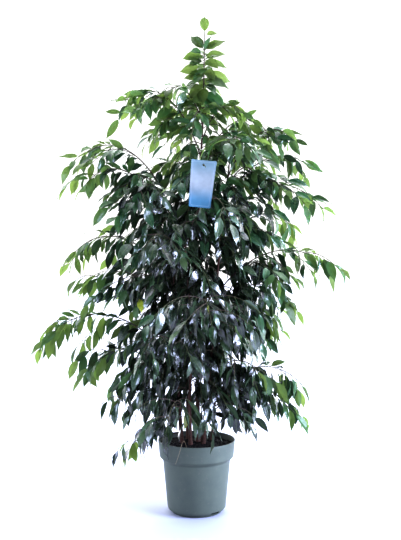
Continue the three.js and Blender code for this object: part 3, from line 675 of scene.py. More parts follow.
straight = np.array([[0, 0, 0], [0, 0, 50], [0, 0, 100.0]])
print("a straight curve of 100 mm measures", round(curve_length(straight), 3))

# %% [markdown]
# ## The card's place
#
# A plain card hangs on the first branch, which passes through its hole. No leaf or side twig may grow in the
# card's place or right before it, so its size and the room round it are settled before the wood grows.

# %% Keep the card's place
CARD = {"top_width": 72, "foot_width": 61, "height": 133, "corner": 3, "thickness": 0.8, "hole_drop": 13.5}
CARD |= {"hole_radius": 3.2, "hook_share": 0.8, "tilt": 5.7}
CARD_CLEAR = {"side": 46, "behind": 16, "above": 24, "below": 140}


def hook_on(branch):
    return curve_points(branch["curve"], CARD["hook_share"])[0]


def at_card(points, hook):
    rise = points[:, 2] - hook[2]
    return (
        (np.abs(points[:, 0] - hook[0]) < CARD_CLEAR["side"])
        & (points[:, 1] < hook[1] + CARD_CLEAR["behind"])
        & (rise < CARD_CLEAR["above"])
        & (rise > -CARD_CLEAR["below"])
    )


print("card:", CARD["top_width"], "by", CARD["height"], "mm")

# %% [markdown]
# ## Finding room
#
# Branches on a real plant grow round each other. Here each one tries its own place first, and then ever
# further to either side of it and a little up or down its stem, until its line is clear of the wood that is
# there. Then the side twigs grow, and those that find no room are left out.

# %% Keep wood apart
TWIG_RADIUS = (2.7, 1.1)
SIDE_RADIUS = 1.2
CLEARANCE = 3.5


def is_clear(points, radius, wood, clearance):
    places, radii, _ = wood
    margin = radius + CLEARANCE + max(LEADER["radius"])
    near = np.all((places > points.min(0) - margin) & (places < points.max(0) + margin), axis=1)
    gaps = ((points[:, None] - places[near]) ** 2).sum(2)
    return bool(np.all(gaps >= (radius + radii[near] + clearance) ** 2))


def with_wood(wood, points, radius, owner):
    places, radii, owners = wood
    radius = np.broadcast_to(radius, len(points))
    return (np.vstack([places, points]), np.append(radii, radius), np.append(owners, [owner] * len(points)))


def part_of(wood, wanted):
    return tuple(column[wanted] for column in wood)


def stem_wood():
    wood = (np.zeros((0, 3)), np.zeros(0), np.zeros(0, int))
    for owner, stem in enumerate(STEMS):
        places = [stem_at(stem, z) for z in np.arange(SOIL_TOP, stem["top"][2], SAMPLE_GAP)]
        wood = with_wood(wood, [point for point, _ in places], [radius for _, radius in places], owner)
    return wood


print("places along the stems:", len(stem_wood()[0]))

# %% Find room for a branch
TURN_STEP = 5
TURN_TRIES = 19
SHIFTS = (0, 10, -10, 20, -20, 30)
STEM_REACH = 50


def find_room(branch, wood):
    own = wood[2] == STEMS.index(branch["stem"])
    for shift in SHIFTS:
        for i in range(TURN_TRIES):
            turn = math.radians(math.ceil(i / 2) * TURN_STEP * (1 if i % 2 else -1))
            curve = branch_curve(branch, turn, shift)
            points = points_along(curve, SAMPLE_GAP)
            outer = points[np.linalg.norm(points - curve[0], axis=1) > STEM_REACH]
            if is_clear(points, TWIG_RADIUS[0], part_of(wood, ~own), CLEARANCE) and is_clear(
                outer, TWIG_RADIUS[0], part_of(wood, own), 1
            ):
                return curve
    return None


print("the first branch finds room:", find_room(branch_plan()[0], stem_wood()) is not None)

# %% Grow side twigs
SIDE = {"gap": 38, "spread": 52, "reach": (0.56, 0.22), "lift": (-0.3, 0.32), "droop": 0.42, "bare": 0.12}
SIDE |= {"ends": (0.94, 0.96), "place": (0.3, 0.4), "turn": 20, "length": (0.8, 0.4)}


def side_twigs(branch, wood, hook):
    curve, bare = branch["curve"], branch["bare"]
    draw = draws_from(branch["seed"])
    length = curve_length(curve)
    last, end = SIDE["ends"]
    count = math.floor(length * (end - bare) / SIDE["gap"] + 0.5)
    twigs = []
    for order in range(count):
        share = mix(bare, last, (order + SIDE["place"][0] + SIDE["place"][1] * next(draw)) / count)
        root = curve_points(curve, share)[0]
        along = curve_heading(curve, share)
        spread = math.radians(SIDE["spread"] + SIDE["turn"] * (next(draw) - 0.5)) * (1 if order % 2 else -1)
        out = level(math.atan2(along[1], along[0]) + spread)
        reach = length * mix(*SIDE["reach"], share) * (SIDE["length"][0] + SIDE["length"][1] * next(draw))
        lift = mix(*SIDE["lift"], next(draw))
        middle = root + out * reach * 0.5 + UP * reach * lift
        tip = root + out * reach + UP * reach * (lift - SIDE["droop"])
        twig = np.array([root, middle, tip])
        points = points_along(twig, SAMPLE_GAP)
        if not np.any(at_card(points[1:], hook)) and is_clear(points, SIDE_RADIUS, wood, CLEARANCE):
            twigs.append({"order": order, "curve": twig})
    return twigs


print("a side twig about every", SIDE["gap"], "mm")

# %% Grow the plant's wood
TWIG_OWNER = -1


def grow_plant():
    wood = stem_wood()
    grown = []
    for number, branch in enumerate(branch_plan(), len(STEMS)):
        curve = find_room(branch, wood)
        if curve is not None:
            grown.append({**branch, "curve": curve, "owner": number})
            wood = with_wood(wood, points_along(curve, SAMPLE_GAP), TWIG_RADIUS[0], number)
    hook = hook_on(grown[0])
    for branch in grown:
        branch["twigs"] = side_twigs(branch, part_of(wood, wood[2] != branch["owner"]), hook)
        for twig in branch["twigs"]:
            wood = with_wood(wood, points_along(twig["curve"], SAMPLE_GAP), SIDE_RADIUS, TWIG_OWNER)
    return grown, hook


branches, hook = grow_plant()
print("branches:", len(branches), "side twigs:", sum(len(branch["twigs"]) for branch in branches))
print("the card hangs at", hook.round(1), "mm")

# %% [markdown]
# ## Where leaves go
#
# Leaves stand to either side of a twig in turn, about 18 mm apart, with one at the tip. Each hangs from a
# short stalk with its own slope, roll and bend. Those numbers are drawn in a fixed order, so that each blade
# of the imported model has its finer blade in the same place. What only concerns looks, such as the wave of
# the margin, the fold along the midrib or how slim the blade is, comes from a second stream. Light and shade
# are painted into the leaves' colour by where they grow. At the left and right, on the outside and near the
# top they are painted paler and younger, as painted light, most of all the last ones at the tips. In the
# middle of the crown and low down by the stems they are painted darker, as painted shade. Further small
# leaves rise above the arching twigs, though not at their very tips, and a gap is left open at the foot of
# the stems. A few leaves are picked by their place: two old ones have turned yellow, and five at a low tip
# are young and light.

# %% Draw a leaf's looks
SPREAD = {"youth_and_painted_light": 0.9, "tone_and_painted_shade": 1.0, "twist": 70}
YELLOW = {"share": 0.0005, "strength": 0.85}
WAVE = 2.2
FOLDS = (8, 34)
SLIMNESS = (0.74, 1.0)


def leaf_looks(draw, youth_and_painted_light, tone_and_painted_shade):
    return {
        "youth_and_painted_light": min(max(youth_and_painted_light + SPREAD["youth_and_painted_light"] * (next(draw) - 0.5), 0), 1),
        "tone_and_painted_shade": min(max(0.5 + tone_and_painted_shade + SPREAD["tone_and_painted_shade"] * (next(draw) - 0.5), 0), 1),
        "yellowing": YELLOW["strength"] if next(draw) < YELLOW["share"] else 0,
        "wave": WAVE * next(draw),
        "phase": 2 * math.pi * next(draw),
        "twist": math.radians(SPREAD["twist"] * (next(draw) - 0.5)),
        "fold": math.radians(mix(*FOLDS, next(draw))),
        "slimness": mix(*SLIMNESS, next(draw)),
    }


print("a leaf's looks:", {key: round(value, 2) for key, value in leaf_looks(draws_from(1), 0.3, 0).items()})

# %% Set leaves along a twig
LEAF = {"length": 64, "width": 0.43, "stalk": 8, "gap": 18, "thickness": 0.32, "fold": 8, "spread": 38}
LEAF |= {"spread_swing": 34, "bend": (14, 44), "roll": 60, "sizes": (0.74, 1.22)}
LEAF |= {"low": {"z": 400, "pitch": (34, 86)}, "high": {"z": 1250, "pitch": (-12, 58)}}


def pitch_at(z, share):
    low, high = LEAF["low"], LEAF["high"]
    rise = min(max((z - low["z"]) / (high["z"] - low["z"]), 0), 1)
    return math.radians(mix(mix(*low["pitch"], share), mix(*high["pitch"], share), rise))


def leaves_along(curve, bare, draw, modelled_every=0):
    count = max(1, math.floor(curve_length(curve) * (1 - bare) / LEAF["gap"]))
    leaves = []
    for rank in range(count + 1):
        share = mix(1, bare, rank / count)
        along = curve_heading(curve, share)
        side = 0 if rank == 0 else rank % 2 * 2 - 1
        spread = math.radians(LEAF["spread"] + LEAF["spread_swing"] * (next(draw) - 0.5))
        heading = math.atan2(along[1], along[0]) + side * spread
        foot = curve_points(curve, share)[0]
        leaves.append({
            "rank": rank,
            "modelled": modelled_every > 0 and rank % modelled_every == 0,
            "foot": foot,
            "out": level(heading),
            "pitch": pitch_at(foot[2], next(draw)),
            "roll": math.radians(LEAF["roll"] * (2 * next(draw) - 1)),
            "size": LEAF["length"] * mix(*LEAF["sizes"], next(draw)),
            "width": LEAF["width"],
            "bend": math.radians(mix(*LEAF["bend"], next(draw))),
        })
    return leaves


test_leaf = leaves_along(straight, 0, draws_from(1))[0]
print("the leaf at the tip of a straight twig is", round(test_leaf["size"]), "mm long")


# %% Place points on a leaf
def leaf_points(leaf, distance, width, lift, twist=0.0):
    distance, width, lift = np.broadcast_arrays(distance, width, lift)
    axis = leaf["out"] * math.cos(leaf["pitch"]) - UP * math.sin(leaf["pitch"])
    face = leaf["out"] * math.sin(leaf["pitch"]) + UP * math.cos(leaf["pitch"])
    face = face * math.cos(leaf["roll"]) + np.cross(axis, face) * math.sin(leaf["roll"])
    across = np.cross(axis, face)
    curl = leaf["bend"] / (leaf["size"] + LEAF["stalk"])
    angle = (curl * distance)[:, None]
    normal = face * np.cos(angle) + axis * np.sin(angle)
    turn = np.broadcast_to(twist, distance.shape)[:, None]
    cosine, sine = np.cos(turn), np.sin(turn)
    across, normal = across * cosine + normal * sine, normal * cosine - across * sine
    fold = leaf.get("fold", math.radians(LEAF["fold"]))
    return (
        leaf["foot"]
        + axis * np.sin(angle) / curl
        + face * (np.cos(angle) - 1) / curl
        + across * width[:, None] * math.cos(fold)
        + normal * (np.abs(width) * math.sin(fold) + lift)[:, None]
    )


def leaf_middle(leaf):
    return leaf_points(leaf, np.array([0.6 * leaf["size"]]), 0, 0)[0]


print("its middle is", round(np.linalg.norm(leaf_middle(test_leaf) - test_leaf["foot"])), "mm from its foot")

# %% Keep leaves where they have room
POT_CLEAR = {"above": 226, "radius": 128}
BOX_LEEWAY = 12
OPEN_FOOT = {"x": -16, "half_width": 44, "top": 430, "share": 0.3}


def has_room(leaf):
    points = leaf_points(leaf, np.array([0.35, 0.7, 1]) * (leaf["size"] + LEAF["stalk"]), 0, 0)
    x, y, z = points.T
    in_pot = (z < POT_CLEAR["above"]) & (np.hypot(x, y) < POT_CLEAR["radius"])
    low, high = (np.array(corner) / MM for corner in model_box)
    outside = np.any((points < low - BOX_LEEWAY) | (points > high + BOX_LEEWAY), axis=1)
    return not np.any(in_pot | at_card(points, hook) | outside)


def is_wanted(leaf, chance):
    x, _, z = leaf_middle(leaf)
    in_opening = abs(x - OPEN_FOOT["x"]) < OPEN_FOOT["half_width"] and z < OPEN_FOOT["top"]
    return leaf["modelled"] or not in_opening or chance < OPEN_FOOT["share"]


print("a leaf inside the pot has room:", has_room(test_leaf))

# %% Paint light and shade into the leaves' colour
PAINTED_LIGHT = {"reach": 420, "shaded_below": 650, "full_above": 1350, "from_depth": 0.42, "most": 0.82}
TIP = {"ranks": 3, "youth_and_painted_light": 0.22, "tone_and_painted_shade": 0.4}
YOUTH_FROM_PAINTED_LIGHT = {"from": 0.5, "slope": 0.5, "less": 0.13}
PAINTED_LIGHT_AND_SHADE = {"from": 0.61, "slope": 2.1, "foot": 0.35}


# Painted light and shade: youth and tone are raised where light falls on the crown, at the left and right,
# outside and high up. Tone is lowered in the shaded middle and low down near the stems.
def with_looks(leaf, looks):
    x, y, z = leaf["foot"]
    outward = math.hypot(x, y) / PAINTED_LIGHT["reach"]
    sideways = abs(x) / PAINTED_LIGHT["reach"]
    upward = (z - PAINTED_LIGHT["shaded_below"]) / (PAINTED_LIGHT["full_above"] - PAINTED_LIGHT["shaded_below"])
    painted_light_share = min(max(PAINTED_LIGHT["from_depth"] * outward, sideways, upward), PAINTED_LIGHT["most"])
    tip = max(1 - leaf["rank"] / TIP["ranks"], 0) * painted_light_share
    youth_and_painted_light = YOUTH_FROM_PAINTED_LIGHT["slope"] * max(painted_light_share - YOUTH_FROM_PAINTED_LIGHT["from"], 0) + TIP["youth_and_painted_light"] * tip - YOUTH_FROM_PAINTED_LIGHT["less"]
    painted_shade_at_foot = PAINTED_LIGHT_AND_SHADE["foot"] * max(-upward, 0) * max(1 - sideways, 0)
    tone_and_painted_shade = PAINTED_LIGHT_AND_SHADE["slope"] * (painted_light_share - PAINTED_LIGHT_AND_SHADE["from"]) + TIP["tone_and_painted_shade"] * tip - painted_shade_at_foot
    return {**leaf, **leaf_looks(looks, youth_and_painted_light, tone_and_painted_shade)}


print("a low leaf's tone:", round(with_looks(test_leaf, draws_from(1))["tone_and_painted_shade"], 2))

# %% Leaf out the branches
SEED_STEPS = {"leaves": 7, "thinning": 977, "looks": 5003, "raised": 6007}
MODELLED_EVERY = {"twig": 2, "main_leaf": 5, "side_leaf": 3}
THINNING = {"from_axis": (110, 230), "shares": (1, 0.1)}
RAISED = {"from": 0.5, "first": 5, "pitch": (-38, 15), "size": 0.72, "everywhere_above": 930}
PICKED_LEAVES = [
    {"near": (-160, -220, 645), "count": 1, "looks": {"yellowing": 0.8}},
    {"near": (0, -60, 320), "count": 1, "looks": {"yellowing": 0.5}},
    {"near": (-225, 10, 175), "count": 5, "looks": {"youth_and_painted_light": 0.4, "tone_and_painted_shade": 0.9}},
]


def is_kept(branch, twig, chance):
    crowding = np.interp(abs(twig["curve"][1][0]), THINNING["from_axis"], THINNING["shares"])
    return twig["modelled"] or not branch["outer"] or chance < crowding


def raised_leaves(curve, bare, draw):
    leaves = []
    for leaf in leaves_along(curve, RAISED["from"] * bare, draw)[RAISED["first"]:]:
        pitch = math.radians(mix(*RAISED["pitch"], next(draw)))
        leaves.append({**leaf, "pitch": pitch, "size": RAISED["size"] * leaf["size"]})
    return leaves


def branch_leaves(branch):
    draw = draws_from(branch["seed"] + SEED_STEPS["leaves"])
    looks = draws_from(branch["seed"] + SEED_STEPS["looks"])
    raised = draws_from(branch["seed"] + SEED_STEPS["raised"])
    leaves = leaves_along(branch["curve"], branch["bare"], draw, MODELLED_EVERY["main_leaf"])
    if branch["outer"] or branch["z"] > RAISED["everywhere_above"]:
        leaves += raised_leaves(branch["curve"], branch["bare"], raised)
    for twig in branch["twigs"]:
        every = MODELLED_EVERY["side_leaf"] if twig["modelled"] else 0
        own = leaves_along(twig["curve"], SIDE["bare"], draw, every)
        if twig["kept"]:
            leaves += own
    return [with_looks(leaf, looks) for leaf in leaves if has_room(leaf) and is_wanted(leaf, next(looks))]


for i, branch in enumerate(branches):
    draw = draws_from(branch["seed"] + SEED_STEPS["thinning"])
    for twig in branch["twigs"]:
        twig["modelled"] = (twig["order"] + i) % MODELLED_EVERY["twig"] == 0
        twig["kept"] = is_kept(branch, twig, next(draw))
    branch["leaves"] = branch_leaves(branch)

every_leaf = [leaf for branch in branches for leaf in branch["leaves"]]
middles = np.array([leaf_middle(leaf) for leaf in every_leaf])
for picked in PICKED_LEAVES:
    order = np.linalg.norm(middles - picked["near"], axis=1).argsort()
    for i in order[: picked["count"]]:
        every_leaf[i].update(picked["looks"])
print("leaves on the branches:", len(every_leaf))

# %% [markdown]
# ## The shape of a leaf
#
# The blade is drawn once as a template: half its width at places along it, from the stalk to the long
# drip tip that lets rain run off. Five lines of corners run along it, with the midrib in the middle, and
# three more close it underneath, so that a blade is a thin closed body with a sharp margin. The template is
# then bent, folded, twisted and waved for each leaf. The midrib stands out underneath and thins to the tip.

# %% Draw the leaf template
OUTLINE = np.array([
    (0, 0), (0.05, 0.31), (0.13, 0.63), (0.26, 0.92), (0.4, 1.0), (0.54, 0.93),
    (0.67, 0.74), (0.78, 0.47), (0.86, 0.22), (0.92, 0.1), (1, 0),
])
UPPER_ROW = (-1, -0.5, 0, 0.5, 1)
UNDER_ROW = (-0.5, 0, 0.5)
MIDRIB_DEPTH = 1.3
CAMBER = 1.9


def leaf_template():
    inner = OUTLINE[1:-1]
    rows, places = [], [(0, 0, 0), (1, 0, 0)]
    for along, _ in inner:
        rows.append(len(places) + np.arange(8))
        places += [(along, side, 1 - abs(side) // 1) for side in UPPER_ROW]
        places += [(along, side, -1) for side in UNDER_ROW]
    faces, undersides = [], []
    for sign in (1, -1):
        lines = [row[:5] if sign == 1 else row[[0, 5, 6, 7, 4]] for row in rows]
        made = []
        for j in range(4):
            made.append([0, lines[0][j + 1], lines[0][j]])
            made += [[a[j], a[j + 1], b[j + 1], b[j]] for a, b in zip(lines, lines[1:])]
            made.append([lines[-1][j], lines[-1][j + 1], 1])
        faces += [[int(c) for c in face[::sign]] for face in made]
        undersides += [0 if sign == 1 else 1] * len(made)
    return np.array(places, float), faces, undersides


BLADE_PLACES, BLADE_FACES, BLADE_UNDERSIDES = leaf_template()
print("a blade has", len(BLADE_PLACES), "corners and", len(BLADE_FACES), "faces")

# %% Add a leaf to a piece
STALK = {"radius": (0.75, 0.55), "steps": 4, "onto_blade": 0.06, "lift": -0.25, "woodiness": 0.12}
THIN_SIDES = 6
WAVE_TURN = 5.5 * math.pi


def add_leaf(parts, leaf):
    along, across, layer = BLADE_PLACES.T
    breadth = np.interp(along, *OUTLINE.T)
    width = across * (leaf["size"] * leaf["width"] * leaf["slimness"] / 2) * breadth
    wave = leaf["wave"] * across**2 * np.sin(WAVE_TURN * along + leaf["phase"] + across) * breadth
    rib = np.where((across == 0) & (layer < 0), 1 + MIDRIB_DEPTH * (1 - along), 1)
    lift = wave + layer * rib * LEAF["thickness"] / 2 - CAMBER * across**2
    distance = LEAF["stalk"] + along * leaf["size"]
    corners = leaf_points(leaf, distance, width, lift, leaf["twist"] * along)
    blade = np.stack([across, along, np.full(len(along), leaf["size"])], axis=1)
    looks = (leaf["youth_and_painted_light"], leaf["tone_and_painted_shade"], leaf["yellowing"])
    parts.add(corners, BLADE_FACES, LEAF_FACE, looks, blade, BLADE_UNDERSIDES)

    reach = np.linspace(-1, LEAF["stalk"] + STALK["onto_blade"] * leaf["size"], STALK["steps"])
    line = leaf_points(leaf, reach, 0, STALK["lift"])
    parts.add_rod(line, np.linspace(*STALK["radius"], STALK["steps"]), THIN_SIDES, STALK["woodiness"])


test_parts = Parts()
add_leaf(test_parts, branches[0]["leaves"][0])
print("a leaf with its stalk has", test_parts.count, "corners")

# %% [markdown]
# ## Leafy branches
#
# Each branch is one piece: the tapering main twig, its side twigs, all its leaves and a slender bud at each
# tip, which is how this fig ends every shoot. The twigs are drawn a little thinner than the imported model's.
# They swell a little at each leaf, and their wood turns from dark bark at the root to green at the tips.

# %% Build the branches
MAIN_TWIG = {"steps": 34, "sides": 10, "woodiness": (0.9, 0.35), "root": 0.75, "tip": 0.85, "of_stem": 0.8}
SIDE_TWIG = {"steps": 12, "sides": 8, "woodiness": (0.85, 0.3), "radii": (0.85 * SIDE_RADIUS, 0.65)}
BUD = {"length": 9, "radius": 1.3, "steps": 6}
NODE_SWELL = 0.16


def add_twig(parts, curve, radii, kind, gap=LEAF["gap"]):
    count = kind["steps"] + 1
    shares = np.linspace(0, 1, count)
    swell = 1 + NODE_SWELL * np.cos(2 * math.pi * shares * curve_length(curve) / gap) ** 8
    radii = np.linspace(*radii, count) * swell
    parts.add_rod(curve_points(curve, shares), radii, kind["sides"], np.linspace(*kind["woodiness"], count))


def add_bud(parts, curve):
    shares = np.linspace(0, 1, BUD["steps"])
    line = curve_points(curve, 1)[0] + np.outer(shares * BUD["length"], curve_heading(curve, 1))
    radii = BUD["radius"] * (1 - shares) ** 0.7 * np.minimum(1, 0.7 + 2 * shares) + 0.1
    parts.add_rod(line, radii, THIN_SIDES, 0)


def build_branch(i, branch):
    parts = Parts()
    stem_radius = stem_at(branch["stem"], branch["curve"][0][2])[1]
    root = min(MAIN_TWIG["root"] * TWIG_RADIUS[0], MAIN_TWIG["of_stem"] * stem_radius)
    add_twig(parts, branch["curve"], (root, MAIN_TWIG["tip"] * TWIG_RADIUS[1]), MAIN_TWIG)
    twigs = [twig["curve"] for twig in branch["twigs"] if twig["kept"]]
    for twig in twigs:
        add_twig(parts, twig, SIDE_TWIG["radii"], SIDE_TWIG)
    for line in [branch["curve"], *twigs]:
        add_bud(parts, line)
    for leaf in branch["leaves"]:
        add_leaf(parts, leaf)
    return add_piece(f"leafy_branch_{i:02d}", parts, [bark_finish, leaf_finish], [f"branch_{i:02d}"])


leafy = [build_branch(i, branch) for i, branch in enumerate(branches, 1)]
print("leafy branches:", len(leafy), "faces:", sum(len(piece.data.polygons) for piece in leafy))

# %% [markdown]
# ## Shoots in the middle
#
# The middle of the crown is so full of leaves that hardly any light gets through. Short shoots grow there
# straight from the stems, each turned from the last by the golden angle, and hang down with old leaves that
# are painted the darkest, as painted shade. They stand closer together in the upper half, and they stay
# within an oval round the axis, so that the outside of the crown keeps its gaps.

# %% Build the shoots on the stems
SHOOTS = {"lowest": 360, "gap": (26, 12), "closer_from": 860, "below_top": 20, "reach": (80, 190)}
SHOOTS |= {"rise": 0.4, "droop": (0.35, 0.95), "bare": 0.1, "oval": (150, 260), "shortest": 60, "step": 5}
SHOOTS |= {"seed": 7001}
SHOOT_TWIG = {"steps": 12, "sides": 8, "woodiness": (0.7, 0.2), "radii": (SIDE_RADIUS, 0.75)}


def shoot_line(stem, z, turn, draw):
    root = stem_at(stem, z)[0]
    out = level(turn)
    reach = mix(*SHOOTS["reach"], next(draw))
    while reach > SHOOTS["shortest"] and math.hypot(*((root + out * reach)[:2] / SHOOTS["oval"])) > 1:
        reach -= SHOOTS["step"]
    middle = root + out * reach * 0.55 + UP * reach * SHOOTS["rise"]
    return np.array([root, middle, root + out * reach - UP * reach * mix(*SHOOTS["droop"], next(draw))])


def build_shoots(number, stem):
    parts = Parts()
    seed = SHOOTS["seed"] + 13 * number
    draw, looks = draws_from(seed), draws_from(seed + 5)
    top, closer = stem["top"][2] - SHOOTS["below_top"], SHOOTS["closer_from"] + 6 * number
    heights = np.arange(SHOOTS["lowest"] + 6 * number, min(top, closer), SHOOTS["gap"][0])
    for i, z in enumerate([*heights, *np.arange(closer, top, SHOOTS["gap"][1])]):
        line = shoot_line(stem, z, math.radians(FILL["golden_angle"] * i + 60 * number), draw)
        leaves = leaves_along(line, SHOOTS["bare"], draw)
        leaves = [leaf for leaf in leaves if has_room(leaf) and is_wanted(leaf, next(looks))]
        if leaves and not np.any(at_card(points_along(line, SAMPLE_GAP), hook)):
            add_twig(parts, line, SHOOT_TWIG["radii"], SHOOT_TWIG)
            add_bud(parts, line)
            for leaf in leaves:
                add_leaf(parts, with_looks(leaf, looks))
    name = stem["name"].replace("stem", "shoots")
    return add_piece(name, parts, [bark_finish, leaf_finish])


shoots = [build_shoots(number, stem) for number, stem in enumerate(STEMS)]
print("shoot pieces:", len(shoots), "faces:", sum(len(piece.data.polygons) for piece in shoots))

# %% [markdown]
# ## The leafy top
#
# The leader ends in a green shoot whose leaves are young and light green, painted lighter still as painted
# light because nothing shades them, and stand out on all sides. They are set one by one: height, azimuth,
# rise above level and length. Smaller leaves fill the shoot and the leader below it, each turned from the
# last by the golden angle.

# %% Set out the leaves of the top
TOP_SHOOT = {"top": (25, -2, 1484), "radii": (2.5, 1.1), "steps": 24, "sides": 12, "woodiness": (0.98, 0.4)}
TOP_SHOOT |= {"leaf_gap": 22, "roll": (54, 14, 2.4), "bend": 24, "leaf_width": 0.56, "slimness": (0.9, 1.06)}
TOP_SHOOT |= {"youth_and_painted_light": (0.28, 0.37), "tone_and_painted_shade": 0.25, "seed": 911}
TOP_FILL = {"count": 22, "heights": (1215, 1440), "rise": (-35, 35), "size": (46, 66)}
TOP_LEAVES = [
    (1482, 100, 84, 56), (1476, 12, 22, 38), (1430, 172, 52, 62), (1430, -8, 30, 68), (1424, 222, 58, 52),
    (1424, 300, 60, 50), (1412, 80, 34, 64), (1414, 188, -4, 64), (1406, 152, 4, 54), (1402, 8, 24, 70),
    (1398, 176, -10, 50), (1400, -50, -26, 62), (1388, 12, 4, 72), (1388, 100, 16, 70), (1376, 258, -20, 62),
    (1370, 186, 0, 72), (1372, 302, -34, 62), (1364, 232, -38, 60), (1366, 206, -24, 58), (1352, 4, -6, 84),
    (1346, 90, -6, 74), (1338, -10, -14, 80), (1336, 176, -12, 66), (1334, -32, -10, 78),
    (1328, 216, -38, 72), (1324, 30, -14, 82), (1322, -62, -24, 74), (1316, 262, -48, 74),
    (1310, 110, -20, 80), (1302, 200, -30, 84), (1302, -20, -32, 84), (1294, 60, -26, 80),
    (1290, 160, -24, 86), (1284, -50, -40, 80),
]
print("leaves set one by one:", len(TOP_LEAVES), "and smaller ones:", TOP_FILL["count"])


# %% Build the leafy top
def top_leaf(i, z, azimuth, rise, size, draw):
    low, high = np.array(LEADER["top"], float), np.array(TOP_SHOOT["top"], float)
    share = (z - low[2]) / (high[2] - low[2])
    out = level(math.radians(azimuth))
    roll, swing, turn = TOP_SHOOT["roll"]
    youngest, more = TOP_SHOOT["youth_and_painted_light"]
    return {
        "foot": mix(low, high, share) if share > 0 else stem_at(LEADER, z)[0],
        "out": out,
        "pitch": math.radians(-rise),
        "roll": math.radians(roll * out[0] + swing * math.sin(turn * i)),
        "size": size,
        "width": TOP_SHOOT["leaf_width"],
        "bend": math.radians(TOP_SHOOT["bend"]),
        **leaf_looks(draw, youngest + more * share, TOP_SHOOT["tone_and_painted_shade"]),
        "slimness": mix(*TOP_SHOOT["slimness"], share),
    }


def build_top():
    parts = Parts()
    ends = np.array([LEADER["top"], TOP_SHOOT["top"]], float)
    line = np.array([ends[0], mix(*ends, 0.5), ends[1]])
    add_twig(parts, line, TOP_SHOOT["radii"], TOP_SHOOT, TOP_SHOOT["leaf_gap"])
    add_bud(parts, line)
    draw = draws_from(TOP_SHOOT["seed"])
    for i, place in enumerate(TOP_LEAVES):
        add_leaf(parts, top_leaf(i, *place, draw))
    for i in range(TOP_FILL["count"]):
        place = (mix(*TOP_FILL["heights"], i / TOP_FILL["count"]), FILL["golden_angle"] * i)
        place += (mix(*TOP_FILL["rise"], next(draw)), mix(*TOP_FILL["size"], next(draw)))
        add_leaf(parts, top_leaf(i, *place, draw))
    return add_piece("leafy_top", parts, [bark_finish, leaf_finish], ["top_shoot"])


top = build_top()
print("faces of the leafy top:", len(top.data.polygons))

# %% [markdown]
# ## The stems' bark
#
# Near the soil a stem flares a little into its roots, and all the way up it has rings where leaves once
# stood. The rod takes a radius for each ring of corners, so both are a matter of its radii. Each stem but
# the leader ends just above the root of its highest branch.

# %% Build the stems
STEM = {"sides": 18, "ring_gap": 6, "sunk": 12, "stub": 8, "woodiness": (1, 0.98)}
FLARE = {"height": 26, "share": 0.5}
SCARS = {"gap": 27, "share": 0.07, "power": 12}
UNEVEN = {"length": 17, "share": 0.03}


def build_stem(stem):
    roots = [branch["curve"][0][2] for branch in branches if branch["stem"] is stem]
    end = stem["top"][2] if stem is LEADER else max(roots) + STEM["stub"]
    heights = np.linspace(SOIL_TOP - STEM["sunk"], end, round((end - SOIL_TOP) / STEM["ring_gap"]))
    places = [stem_at(stem, max(z, SOIL_TOP)) for z in heights]
    line = np.array([point for point, _ in places])
    line[:, 2] = heights
    radii = np.array([radius for _, radius in places])
    radii *= 1 + FLARE["share"] * np.exp(-np.maximum(heights - SOIL_TOP, 0) / FLARE["height"])
    scars = SCARS["share"] * np.cos(2 * math.pi * heights / SCARS["gap"]) ** SCARS["power"]
    radii *= 1 + scars + UNEVEN["share"] * np.sin(heights / UNEVEN["length"])
    parts = Parts()
    parts.add_rod(line, radii, STEM["sides"], np.interp(heights, (SOIL_TOP, end), STEM["woodiness"]))
    return add_piece(f"bark_{stem['name']}", parts, [bark_finish], [stem["name"]])


stems = [build_stem(stem) for stem in STEMS]
print("stem pieces:", [stem.name for stem in stems])

# %% [markdown]
# ## The pot
#
# The pot is turned from one closed profile: the foot ring, the tapering wall, the step out to the collar,
# the rolled rim, and the inside down to the floor. Each row holds a radius, a height and how far the mould
# rounds that corner, in millimetres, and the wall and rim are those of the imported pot. The slots at the foot
# of the wall and the drains in the floor are cut with a Boolean modifier, which is then applied.

# %% Turn the pot
POT_SIDES = 128
POT_PROFILE = [
    (22, 0, 0), (24, 3.5, 1), (73, 3.5, 1), (74, 0, 0.6), (79, 0, 0.8), (80, 6, 0.6), (86, 7, 2),
    (90.2, 13, 3), (104.5, 159, 3), (114.6, 169, 2), (115.2, 172, 1), (119.2, 214, 0.5), (119.6, 215, 0.4),
    (119.1, 216, 0.4), (120, 218.6, 0.8), (119.4, 220, 0.8), (117.2, 220, 0.8), (112.6, 171, 3),
    (102.1, 160, 3), (87.8, 15, 3), (76, 6, 4),
]
POT_FLOOR = 6
POT_ARC = 4
POT_EDGE_ANGLE = 32


def rounded(corners, steps):
    points = [corners[0][:2]]
    for before, corner, after in zip(corners, corners[1:], corners[2:]):
        middle = np.array(corner[:2])
        ends = [np.array(other[:2]) - middle for other in (before, after)]
        reach = [min(corner[2], 0.45 * np.linalg.norm(end)) for end in ends]
        first, last = (middle + unit(end) * cut for end, cut in zip(ends, reach))
        points += curve_points(np.array([first, middle, last]), np.linspace(0, 1, steps)).tolist()
    return points + [corners[-1][:2]]


def turned(profile, sides, low, high):
    around = np.arange(sides) * 2 * np.pi / sides
    corners = [(0, 0, low)]
    for radius, z in profile:
        corners += [(radius * math.cos(a), radius * math.sin(a), z) for a in around]
    corners.append((0, 0, high))
    last = len(corners) - 1
    foot = [[0, 1 + (s + 1) % sides, 1 + s] for s in range(sides)]
    head = [[last - sides + s, last - sides + (s + 1) % sides, last] for s in range(sides)]
    return corners, [*foot, *ring_faces(len(profile), sides, 1), *head]


